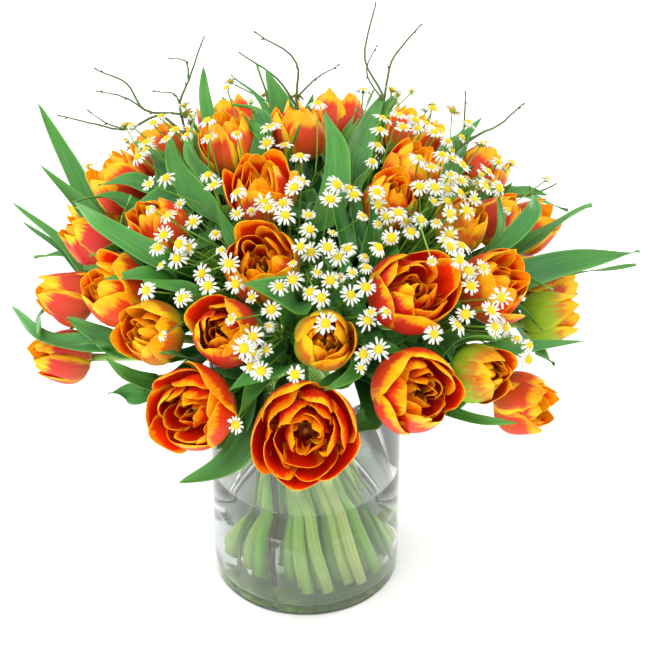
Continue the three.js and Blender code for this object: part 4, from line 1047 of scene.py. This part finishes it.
def add_leaves(leaves, material):
    """The leaves, a piece for each group of stems that they grow from."""
    for sector in range(STEM_GROUPS):
        sculpt = Sculpt()
        for leaf in leaves:
            if leaf.stem.sector == sector:
                add_leaf(sculpt, leaf)
        if sculpt.count:
            sculpt.piece(counted("leaves", sector), material, "leaf", counted("leafy_stems", sector))


# ---------------------------------------------------------------- daisies

# A daisy head: one in so many is a bud, grown to a share of its size; the number, reach and droop
# of its rays; where they start, their half-width, thickness and notch; and the disc's half-width
# and height.
DAISY = {
    "bud_of": 3, "bud": (0.5, 0.8), "rays": (12, 16), "reach": (0.76, 1.0), "droop": (-1.2, 0.3),
    "start": 2.6, "half": 0.84, "thick": 0.4, "notch": 0.45, "disc": (3.1, 3.7), "tall": (2.2, 3.4),
}

# Feathery leaves on each stalk: where on its first stretch they grow, their length, the radii of
# their ribs and lobes, and the length of the lobes.
FROND = {
    "count": 2, "roots": (0.55, 1.0), "length": (16, 26), "rib": (0.45, 0.2),
    "lobe": (0.4, 0.34, 0.12), "lobes": (6.5, 3.0),
}


def add_daisy(rays, discs, stalk, number):
    """One head: notched white rays round a domed yellow disc. One head in three is barely open."""
    random = dice("daisy", number)
    grown = 1.0 if number % DAISY["bud_of"] else mix(*DAISY["bud"], random.random())
    centre = stalk.points[-1]
    axis = unit(unit(centre - FOCUS) + unit(centre - stalk.points[-2]) * 0.35
                + 0.3 * random.normal(size=3) + np.array([0, 0, 0.25]))
    x, y = cross_axes(axis, 2 * math.pi * random.random())
    reach = SPRAY["ray"] * mix(*DAISY["reach"], random.random()) * grown
    count = int(random.integers(*DAISY["rays"]))
    droop = mix(*DAISY["droop"], random.random())
    for k in range(count):
        angle = 2 * math.pi * (k + 0.25 * random.normal()) / count
        side = x * math.cos(angle) + y * math.sin(angle)
        across = np.cross(axis, side)
        length = reach * (1 + 0.07 * random.normal())
        v = np.linspace(0, 1, 4)[:, None]
        u = np.linspace(-1, 1, 3)[None, :]
        half = DAISY["half"] * grown * np.array([0.55, 0.9, 1.0, 0.6])[:, None]
        notch = DAISY["notch"] * (np.abs(u) < 0.5) * (v > 0.99)
        out = mix(DAISY["start"] * grown, length, v) - notch
        lift = 1.2 + droop * v**2 * 2.6 + 0.35 * random.normal() * v + 0.25 * u**2
        grid = (centre + side * out[..., None] + across * (half * u)[..., None]
                + axis * lift[..., None])
        rays.shell(grid, DAISY["thick"], stacked(np.abs(u), v, 0.0, random.random()),
                   stacked(u * 0.13, v * 0.6, number * 0.7 + k))
    wide = grown * mix(*DAISY["disc"], random.random())
    tall = mix(*DAISY["tall"], random.random())
    dome = [(0, 0.2), (wide * 0.7, 0.2), (wide, 0.9), (wide * 0.95, 0.9 + tall * 0.35),
            (wide * 0.75, 0.9 + tall * 0.7), (wide * 0.42, 0.9 + tall * 0.93), (0, 0.9 + tall)]
    paint = stacked(0, np.linspace(0, 1, len(dome)), 0, random.random())
    discs.lathe(centre, axis, dome, SIDES["disc"], paint)


def add_sprays(stems, stalks, looks):
    """Three pieces for each spray: the rays, the discs, and the green parts. A stalk widens under
    its head to a cup."""
    thins, cup_radii, cup_height = (0.75, 0.5), (0.6, 2.3), 1.6
    for spray, stem in enumerate(stems):
        rays, discs, greens = Sculpt(), Sculpt(), Sculpt()
        line = smooth_line(stem.points, 5)
        radii = np.linspace(SPRAY["radius"], SPRAY["stalk"], len(line))
        greens.tube(line, radii, SIDES["branch"], (0, 0.5, 0, 0.3))
        for number, stalk in enumerate(stalks):
            if stalk.spray != spray:
                continue
            add_daisy(rays, discs, stalk, number)
            line = smooth_line(stalk.points, 5)
            radii = np.linspace(*thins, len(line))
            radii[-2:] = cup_radii
            line[-2] = line[-1] - unit(line[-1] - line[-3]) * cup_height
            greens.tube(line, radii, SIDES["stalk"], (0, 0.6, 0, draw(number, 41)))
            add_fronds(greens, stalk, number)
        node = counted("daisy_spray", spray)
        rays.piece(counted("daisy_rays", spray), looks.ray, "daisy", node)
        discs.piece(counted("daisy_discs", spray), looks.disc, "daisy", node)
        greens.piece(counted("daisy_stalks", spray), looks.stalk, "leaf", node)


def add_fronds(sculpt, stalk, number):
    """Two small feathery leaves on a daisy stalk, each a rib with pairs of fine lobes."""
    for k in range(FROND["count"]):
        random = dice("frond", number * 4 + k)
        root = mix(stalk.points[0], stalk.points[1], mix(*FROND["roots"], random.random()))
        out = unit(unit(root - FOCUS) + 0.7 * random.normal(size=3))
        tip = root + out * mix(*FROND["length"], random.random())
        rib = smooth_line([root, mix(root, tip, 0.55) + np.array([0, 0, 2.0]), tip], 4)
        radii = np.linspace(*FROND["rib"], len(rib))
        sculpt.tube(rib, radii, SIDES["thread"], (0, 0.3, 0, random.random()))
        side = unit(np.cross(out, random.normal(size=3)))
        for i, centre in enumerate(rib[2:-1]):
            for sign in (-1, 1):
                length = mix(*FROND["lobes"], i / len(rib))
                end = centre + (side * sign * 0.8 + out * 0.6) * length
                knee = mix(centre, end, 0.5) + np.array([0, 0, 0.5])
                sculpt.tube([centre, knee, end], FROND["lobe"], SIDES["thread"],
                            (0, 0.3, 0, random.random()))


# ---------------------------------------------------------------- twigs

def add_twigs(twig_stems, twigs, material):
    """A piece for each bunch: its stem, which is brown where it stands in the vase, and its twigs."""
    for bunch, stem in enumerate(twig_stems):
        sculpt = Sculpt()
        line = smooth_line(stem.points, 6)
        in_water = 1 - rise(line[:, 2], VASE.water, VASE.height)
        radii = np.linspace(*TWIG["stem"], len(line))
        sculpt.tube(line, radii, SIDES["branch"], stacked(0, 0.4, in_water, 0.4))
        for n, twig in enumerate(twigs):
            if twig.bunch == bunch:
                add_twig(sculpt, twig, n)
        sculpt.piece(counted("twigs", bunch), material, "twig", counted("twig_bunch", bunch))


def add_twig(sculpt, twig, number):
    """A thin twig that changes direction a little at each bud."""
    crooked, apart, bud_long = 0.16, 5, (2.0, 3.6)
    random = dice("twig", number)
    line = smooth_line(twig.points, 5)
    kink = crooked * random.normal(size=line.shape)
    kink[0] = 0
    line = line + kink
    radii = np.linspace(*(twig.radius * share for share in TWIG["taper"]), len(line))
    sculpt.tube(line, radii, SIDES["stalk"], (0, 0.5, 0, random.random()))
    along = unit(np.gradient(line, axis=0))
    for i in [*range(apart - 1, len(line), apart), len(line) - 1]:
        side = unit(np.cross(along[i], random.normal(size=3)))
        axis = unit(along[i] + 0.55 * side) if i < len(line) - 1 else along[i]
        seat = line[i] + side * radii[i] * 0.6
        long = mix(*bud_long, random.random())
        bud = [(0, -0.4), (0.6, 0.2), (0.8, long * 0.4), (0.45, long * 0.8), (0, long)]
        sculpt.lathe(seat, axis, bud, SIDES["stalk"], (1, 0.6, 0, random.random()))


# ---------------------------------------------------------------- vase, water and tie

INSIDE = 5.0  # the rounding of the glass between its wall and its floor


def arc(centre_out, centre_up, radius, first, last, steps):
    """Points of an arc in a profile, from one angle to another in degrees."""
    angles = np.radians(np.linspace(first, last, steps))
    return [(centre_out + radius * math.cos(a), centre_up + radius * math.sin(a)) for a in angles]


def add_turned(name, profile, material, slot, node):
    """A piece turned about the vase's axis."""
    sculpt = Sculpt()
    sculpt.lathe(np.zeros(3), np.array([0.0, 0.0, 1.0]), profile, SIDES["vase"], (0, 0, 0, 0.5))
    sculpt.piece(name, material, slot, node)


def add_vase(material):
    """The cylinder: a flat foot with a hollow under it, a round lip, and a floor that rises a
    little towards its middle."""
    foot, lip = 3.0, 2.1
    outer, bore, height, floor = VASE.radius, VASE.bore, VASE.height, VASE.floor
    wall = (outer + bore) / 2
    profile = [
        (0, 1.6), (outer * 0.45, 1.4), (outer * 0.8, 1.0), (outer * 0.86, 0.3),
        (outer * 0.9, 0), *arc(outer - foot, foot, foot, -90, 0, 6),
        (outer, height * 0.5), *arc(wall, height - lip, lip, 0, 180, 9),
        (bore, height * 0.5), *arc(bore - INSIDE, floor + INSIDE, INSIDE, 0, -90, 7),
        (bore * 0.5, floor + 0.5), (0, floor + 0.8),
    ]
    add_turned("glass_vase", profile, material, "glass", "vase")


def add_water(material):
    """Water to its level, drawn up a little where it meets the glass. It reaches a hair into the
    glass, so that no film of air lies between them."""
    film = 0.12
    outer, floor, level = VASE.bore + film, VASE.floor, VASE.water
    profile = [
        (0, floor + 0.8 - film), (VASE.bore * 0.5, floor + 0.5 - film),
        *arc(VASE.bore - INSIDE, floor + INSIDE, INSIDE + film, -90, 0, 7),
        (outer, level * 0.5), (outer, level + 1.6), (outer - 0.5, level + 1.2),
        (outer - 1.5, level + 0.5), (outer - 3.5, level), (outer * 0.5, level), (0, level),
    ]
    add_turned("still_water", profile, material, "water", "water")


def add_tie(material):
    """A strip of raffia wound round the waist in a few turns, which wander a little."""
    turns, steps, inset, border = 5, 40, 1.1, 1.2
    thick, wider = 0.7, 1.7
    low, high = solid_box("tie")
    centre = (low + high) / 2
    t = np.linspace(0, turns, turns * steps + 1)
    angle = 2 * math.pi * t
    wander = 0.35 * np.sin(angle * 1.37 + 1.0)
    radius = (high[0] - low[0]) / 2 - inset + 0.3 * wander
    path = np.stack([centre[0] + radius * np.cos(angle), centre[1] + radius * np.sin(angle),
                     mix(low[2] + border, high[2] - border, t / turns) + wander], -1)
    sculpt = Sculpt()
    sculpt.tube(path, thick, SIDES["stalk"], (0, 0.5, 0, 0.5), across=wider)
    sculpt.piece("raffia_tie", material, "tie", "tie")


# ---------------------------------------------------------------- materials

def tone(red, green, blue):
    """A colour as a screen shows it, from 0 to 255, in the renderer's linear values."""
    def linear(value):
        value /= 255
        return value / 12.92 if value <= 0.04045 else ((value + 0.055) / 1.055) ** 2.4
    return (linear(red), linear(green), linear(blue), 1.0)


class Shade:
    """A material with one Principled shader, and short ways to paint it. body is its colour so
    far. Colours are given as a screen shows them, in three numbers up to 255."""

    def __init__(self, name, **sockets):
        self.material = bpy.data.materials.new(name)
        self.material.use_nodes = True
        self.tree = self.material.node_tree
        self.shader = self.tree.nodes["Principled BSDF"]
        for socket, value in sockets.items():
            self.shader.inputs[socket.replace("_", " ")].default_value = value
        self.body = None

    def node(self, kind, inputs=None, **settings):
        """A node with its settings, and with its inputs linked or given a value."""
        node = self.tree.nodes.new(kind)
        for key, value in settings.items():
            setattr(node, key, value)
        for key, value in (inputs or {}).items():
            if isinstance(value, bpy.types.NodeSocket):
                self.tree.links.new(value, node.inputs[key])
            else:
                node.inputs[key].default_value = value
        return node

    def channels(self, name):
        """The four numbers of a painted attribute."""
        attribute = self.node("ShaderNodeAttribute", attribute_name=name)
        split = self.node("ShaderNodeSeparateColor", {"Color": attribute.outputs["Color"]})
        return (*(split.outputs[channel] for channel in ("Red", "Green", "Blue")),
                attribute.outputs["Alpha"])

    def math(self, operation, a, b, c=0.0):
        """The number that an operation makes of two or three others."""
        return self.node("ShaderNodeMath", {0: a, 1: b, 2: c}, operation=operation).outputs[0]

    def noise(self, vector, scale, detail, rough):
        """Cloudy noise from 0 to 1."""
        node = self.node("ShaderNodeTexNoise", {
            "Vector": vector, "Scale": scale, "Detail": detail, "Roughness": rough})
        return node.outputs["Fac"]

    def place(self):
        """The position on the petal, leaf or strand."""
        return self.node("ShaderNodeAttribute", attribute_name="place").outputs["Vector"]

    def grain(self, factors, detail=2.0, rough=0.5):
        """Noise over the place, finer in each direction by a factor."""
        stretched = self.node("ShaderNodeVectorMath", {0: self.place(), 1: factors},
                              operation="MULTIPLY")
        return self.noise(stretched.outputs[0], 1.0, detail, rough)

    def ramp(self, factor, *stops):
        """A colour that changes with the factor. A stop is the factor and the colour there."""
        node = self.node("ShaderNodeValToRGB", {"Fac": factor})
        elements = node.color_ramp.elements
        while len(elements) < len(stops):
            elements.new(0.5)
        for element, (place, *colour) in zip(elements, stops):
            element.position, element.color = place, tone(*colour)
        return node.outputs["Color"]

    def range(self, value, low, high, to_low=0.0, to_high=1.0):
        """A smooth step between two numbers, while the value goes from low to high."""
        node = self.node("ShaderNodeMapRange", {
            "Value": value, "From Min": low, "From Max": high, "To Min": to_low, "To Max": to_high},
            interpolation_type="SMOOTHSTEP")
        return node.outputs["Result"]

    def mix(self, factor, a, b):
        """Colour a where the factor is 0, turning into colour b where it is 1."""
        first, second = (tone(*colour) if isinstance(colour, tuple) else colour
                         for colour in (a, b))
        return self.node("ShaderNodeMix", {0: factor, 6: first, 7: second},
                         data_type="RGBA").outputs[2]

    def tinge(self, colour, value, share=1.0, between=None):
        """Lays a colour over the body, by a share of the value or, if two limits are given, by
        the share that the value reaches between them."""
        if between:
            factor = self.range(value, *between, 0.0, share)
        else:
            factor = self.math("MULTIPLY", value, share)
        self.body = self.mix(factor, self.body, colour)

    def bump(self, height, strength, distance):
        """Fine relief, by a texture."""
        node = self.node("ShaderNodeBump", {
            "Height": height, "Strength": strength, "Distance": distance})
        self.tree.links.new(node.outputs["Normal"], self.shader.inputs["Normal"])

    def rough(self, texture, low, high, between=(0.2, 0.8)):
        """Roughness from low to high, while the texture goes between two limits."""
        rough = self.range(texture, *between, low, high)
        self.tree.links.new(rough, self.shader.inputs["Roughness"])

    def painted(self):
        """The material, in the colour of its body."""
        self.tree.links.new(self.body, self.shader.inputs["Base Color"])
        return self.material


def petal_material():
    """Deep red inside, orange to pinkish red outside, with broad feathered yellow margins. A
    petal that is green is so outside, most of all at its foot."""
    shade = Shade("petal", Specular_IOR_Level=0.18, Subsurface_Weight=0.35, Subsurface_Scale=0.0012,
                  Subsurface_Radius=(1.0, 0.5, 0.25))
    edge, along, inside, chance = shade.channels("paint")
    green, yellow, pink, _ = shade.channels("tint")
    streak = shade.grain((3.2, 0.42, 1.0), 4.0, 0.6)
    veins = shade.grain((15.0, 0.8, 1.0))
    blotch = shade.grain((0.7, 0.5, 1.0))

    reach = shade.math("ADD", edge, shade.math("MULTIPLY_ADD", streak, 0.75, -0.375))
    reach = shade.math("ADD", reach, shade.math("MULTIPLY", yellow, 0.42))
    reach = shade.math("ADD", reach, shade.math("MULTIPLY", shade.math("SUBTRACT", chance, 0.5), 0.22))
    margin = shade.range(reach, 0.63, 0.93)

    deep = shade.ramp(along, (0.0, 92, 6, 8), (0.22, 174, 12, 6), (0.5, 232, 30, 6),
                      (1.0, 244, 68, 8))
    shade.body = shade.ramp(along, (0.0, 150, 140, 50), (0.16, 192, 50, 26), (0.5, 204, 22, 12),
                            (1.0, 232, 62, 8))
    shade.tinge((196, 44, 54), pink, 0.75)
    shade.body = shade.mix(inside, shade.body, deep)
    shade.tinge((246, 128, 14), yellow, 0.4)
    rim = shade.ramp(blotch, (0.3, 252, 150, 8), (0.7, 255, 204, 28))
    shade.body = shade.mix(margin, shade.body, rim)
    shade.tinge((170, 16, 6), veins, 0.16, (0.5, 0.75))
    leafy = shade.math("MULTIPLY", green, shade.range(along, 1.05, 0.15))
    leafy = shade.math("MULTIPLY", leafy, shade.math("MULTIPLY_ADD", inside, -0.8, 1.0))
    leafy = shade.math("MULTIPLY", leafy, shade.range(streak, 0.3, 0.6, 0.9, 1.9))
    shade.tinge((150, 186, 44), leafy)
    shade.rough(streak, 0.34, 0.52)
    shade.bump(veins, 0.25, 0.0006)
    return shade.painted()


def leaf_material():
    """Blue-green with fine lengthwise veins, paler along the edges and underneath. Painted shade
    darkens it along the crease of its fold and towards its root.
    """
    shade = Shade("leaf", Specular_IOR_Level=0.35)
    edge, along, under, chance = shade.channels("paint")
    veins = shade.grain((9.0, 0.1, 1.0))
    cloud = shade.grain((0.5, 0.16, 1.0), 3.0, 0.55)
    shade.body = shade.ramp(cloud, (0.3, 18, 78, 22), (0.7, 66, 142, 34))
    shade.tinge((40, 104, 66), chance, 0.6, (0.3, 1.0))
    shade.tinge((104, 176, 62), veins, 0.42, (0.48, 0.7))
    # painted shade: darker along the middle of the leaf, in the crease of its fold
    shade.tinge((18, 80, 26), edge, 0.5, (0.14, 0.0))
    shade.tinge((128, 188, 70), edge, 0.55, (0.8, 1.0))
    shade.tinge((92, 160, 48), along, 0.45, (0.6, 1.0))
    # painted shade: darker towards the leaf's root, deep among the blooms
    shade.tinge((16, 64, 20), along, 0.45, (0.6, 0.2))
    shade.tinge((84, 146, 76), under, 0.3)
    shade.rough(cloud, 0.42, 0.6)
    shade.bump(veins, 0.5, 0.0006)
    return shade.painted()


def stem_material():
    """Pale yellow-green where it stands in the vase, partly its own colour and partly painted light,
    and greener above.
    """
    shade = Shade("stem", Specular_IOR_Level=0.5)
    in_water, _, _, chance = shade.channels("paint")
    ridges_and_painted_light = shade.grain((3.0, 0.12, 3.0))
    dry_tone = shade.mix(chance, (104, 156, 62), (138, 182, 84))
    # the pale tone in the water is partly the stems' own colour and partly painted light
    in_water_tone_and_painted_light = shade.mix(chance, (134, 214, 34), (234, 252, 140))
    shade.body = shade.mix(in_water, dry_tone, in_water_tone_and_painted_light)
    # painted shade in the dark streaks and painted highlights in the light ones; the same texture
    # gives the ridges' roughness and bump
    shade.tinge((84, 146, 30), ridges_and_painted_light, 0.32, (0.48, 0.3))
    shade.tinge((226, 246, 150), ridges_and_painted_light, 0.35, (0.45, 0.7))
    shade.rough(ridges_and_painted_light, 0.3, 0.5)
    shade.bump(ridges_and_painted_light, 0.2, 0.0008)
    return shade.painted()


def stalk_material():
    """The daisies' stalks and feathery leaves, a fresher and a darker green."""
    shade = Shade("stalk", Specular_IOR_Level=0.4)
    _, along, _, chance = shade.channels("paint")
    grain = shade.grain((2.0, 0.5, 2.0))
    shade.body = shade.mix(chance, (70, 132, 34), (130, 176, 54))
    shade.tinge((160, 196, 80), grain, 0.4, (0.4, 0.7))
    shade.tinge((50, 118, 28), along, 0.4, (0.5, 0.3))
    shade.rough(grain, 0.45, 0.65)
    return shade.painted()


def ray_material():
    """White with fine grey lines, and yellowish where a ray leaves the disc."""
    shade = Shade("daisy_ray", Specular_IOR_Level=0.3, Sheen_Weight=0.1)
    _, along, _, chance = shade.channels("paint")
    lines = shade.grain((22.0, 1.0, 1.0))
    shade.body = shade.mix(chance, (226, 228, 220), (210, 214, 198))
    shade.tinge((186, 192, 176), lines, 0.4, (0.5, 0.75))
    shade.tinge((226, 226, 150), along, 0.6, (0.25, 0.0))
    shade.rough(lines, 0.5, 0.65)
    shade.bump(lines, 0.3, 0.0003)
    return shade.painted()


def disc_material():
    """Yellow florets, greener in the middle of the dome."""
    shade = Shade("daisy_disc", Specular_IOR_Level=0.3)
    _, along, _, chance = shade.channels("paint")
    cells = shade.node("ShaderNodeTexVoronoi", {"Vector": shade.place(), "Scale": 16.0})
    florets = cells.outputs["Distance"]
    shade.body = shade.ramp(florets, (0.0, 240, 222, 26), (0.6, 206, 176, 10))
    shade.tinge((186, 190, 40), along, 0.5, (0.7, 1.0))
    shade.tinge((212, 190, 30), chance, 0.25)
    shade.rough(florets, 0.5, 0.75, (0.0, 0.7))
    shade.bump(florets, -0.7, 0.0008)
    return shade.painted()


def twig_material():
    """Greenish bark with browner buds, and brown where it stands in the vase."""
    shade = Shade("twig", Specular_IOR_Level=0.3)
    bud, _, in_water, chance = shade.channels("paint")
    bark = shade.grain((1.5, 1.2, 1.5), 4.0, 0.65)
    shade.body = shade.ramp(bark, (0.3, 46, 76, 36), (0.7, 98, 124, 66))
    shade.tinge((84, 108, 56), chance, 0.35)
    shade.tinge((104, 104, 62), bud, 0.6)
    shade.tinge((88, 58, 42), in_water, 0.85)
    shade.rough(bark, 0.6, 0.85)
    shade.bump(bark, 0.4, 0.0006)
    return shade.painted()


def glass_material():
    """Clear glass, very slightly green, drawn with the slightest waves."""
    shade = Shade("glass", Transmission_Weight=0.975, IOR=1.47, Roughness=0.0,
                  Base_Color=tone(250, 252, 252))
    shade.bump(shade.grain((0.25, 0.25, 0.06), 1.0, 0.4), 0.04, 0.001)
    return shade.material


def water_material():
    """Clear water with the slightest ripple."""
    shade = Shade("water", Transmission_Weight=0.996, IOR=1.333, Roughness=0.0,
                  Base_Color=tone(252, 255, 253))
    shade.bump(shade.grain((0.4, 0.4, 0.4), 1.0, 0.4), 0.03, 0.001)
    return shade.material


def raffia_material():
    """Straw-coloured, with fibres along the strip."""
    shade = Shade("raffia", Specular_IOR_Level=0.3)
    fibres = shade.grain((6.0, 0.4, 6.0), 3.0, 0.6)
    shade.body = shade.ramp(fibres, (0.3, 150, 120, 76), (0.7, 208, 184, 138))
    shade.rough(fibres, 0.65, 0.85)
    shade.bump(fibres, 0.5, 0.0005)
    return shade.painted()


def floor_material():
    """A white surface with the faintest clouds."""
    shade = Shade("floor", Roughness=0.9, Specular_IOR_Level=0.1)
    cloud = shade.noise(shade.node("ShaderNodeTexCoord").outputs["Object"], 3.0, 2.0, 0.5)
    shade.body = shade.ramp(cloud, (0.0, 249, 249, 250), (1.0, 253, 253, 253))
    return shade.painted()


# ---------------------------------------------------------------- the stage

# Soft round lights in metres: place, size and power.
LIGHTS = {
    "key": ((-1.1, -1.3, 2.4), 1.2, 32),
    "fill": ((1.6, -1.2, 1.9), 1.4, 13),
    "back": ((0.3, 1.7, 2.3), 1.4, 15),
    "low_left": ((-1.6, 0.9, 0.45), 0.8, 20),
    "low_right": ((1.6, 0.7, 0.45), 0.8, 20),
    "low_front": ((-0.9, -1.7, 0.35), 0.9, 9),
}
AIM = Vector((0, 0, 0.16))  # what the lights point at
SKY = {"colour": (1, 1, 1, 1), "strength": 0.95}
FLOOR_HALF = 6.0
BOUNCES = {"max": 32, "transmission": 32, "glossy": 12, "diffuse": 6}


def place_object(name, data, place, ahead):
    """An object that looks ahead from its place."""
    item = bpy.data.objects.new(name, data)
    item.location = place
    item.rotation_euler = ahead.to_track_quat("-Z", "Y").to_euler()
    bpy.context.scene.collection.objects.link(item)
    return item


def add_camera():
    """The camera, which looks a little past the vase's axis and down."""
    elevation, yaw, pitch = (math.radians(CAMERA[key]) for key in ("elevation", "yaw", "pitch"))
    place = Vector((0, -math.cos(elevation), math.sin(elevation))) * CAMERA["distance"] * MM
    ahead = Vector((math.sin(yaw) * math.cos(pitch), math.cos(yaw) * math.cos(pitch),
                    -math.sin(pitch)))
    data = bpy.data.cameras.new("camera")
    data.lens, data.sensor_width = CAMERA_LENS["focal"], CAMERA_LENS["sensor"]
    data.clip_start, data.clip_end = CAMERA_LENS["clip"]
    bpy.context.scene.camera = place_object("camera", data, place, ahead)


def add_floor():
    """The white surface that the vase stands on."""
    mesh = bpy.data.meshes.new("floor")
    corners = [(-1, -1), (1, -1), (1, 1), (-1, 1)]
    mesh.from_pydata([(x * FLOOR_HALF, y * FLOOR_HALF, 0) for x, y in corners], [], [(0, 1, 2, 3)])
    mesh.materials.append(floor_material())
    floor = bpy.data.objects.new("floor", mesh)
    bpy.context.scene.collection.objects.link(floor)


def add_lights():
    """The lights and a white sky. Water inside glass needs many bounces to stay clear."""
    for name, (place, size, power) in LIGHTS.items():
        data = bpy.data.lights.new(name, "AREA")
        data.shape, data.size, data.energy = "DISK", size, power
        place_object(name, data, place, AIM - Vector(place))
    world = bpy.data.worlds.new("studio")
    world.use_nodes = True
    background = world.node_tree.nodes["Background"]
    background.inputs["Color"].default_value = SKY["colour"]
    background.inputs["Strength"].default_value = SKY["strength"]
    scene = bpy.context.scene
    scene.world = world
    scene.view_settings.view_transform = "Standard"
    for kind, count in BOUNCES.items():
        setattr(scene.cycles, f"{kind}_bounces", count)


# ---------------------------------------------------------------- the scene

add_camera()
add_floor()
add_lights()

blooms = lay_blooms()
stems, spray_stems, twig_stems = lay_stems(blooms)
thick = [*stems, *spray_stems, *twig_stems]
bend_clear(thick, [], blooms)
heads = lay_heads(blooms, SPRAYS)
stalks = lay_stalks(spray_stems, heads, [len(rows) for rows in SPRAYS])
twigs = lay_twigs(twig_stems)
bend_clear([*stalks, *twigs], thick, blooms)
join_shoots(twigs)
strands = [*thick, *stalks, *twigs]
leaves = []
lay_leaves(LEAVES, stems, blooms, strands, heads, leaves)

more_heads = lay_heads(blooms, with_mates(MORE_HEADS), settled=heads, spread=0.12, space=0.6)
more_stalks = lay_stalks(spray_stems, more_heads, [2 * len(rows) for rows in MORE_HEADS])
bend_clear(more_stalks, strands, blooms)
lay_leaves(MORE_LEAVES + more_leaves(), stems, blooms, strands, heads + more_heads, leaves)
straighten(leaves)

add_tulips(blooms, petal_material())
add_stems(stems, stem_material())
add_leaves(leaves, leaf_material())
daisy_looks = SimpleNamespace(ray=ray_material(), disc=disc_material(), stalk=stalk_material())
add_sprays(spray_stems, stalks + more_stalks, daisy_looks)
add_twigs(twig_stems, twigs, twig_material())
add_vase(glass_material())
add_water(water_material())
add_tie(raffia_material())
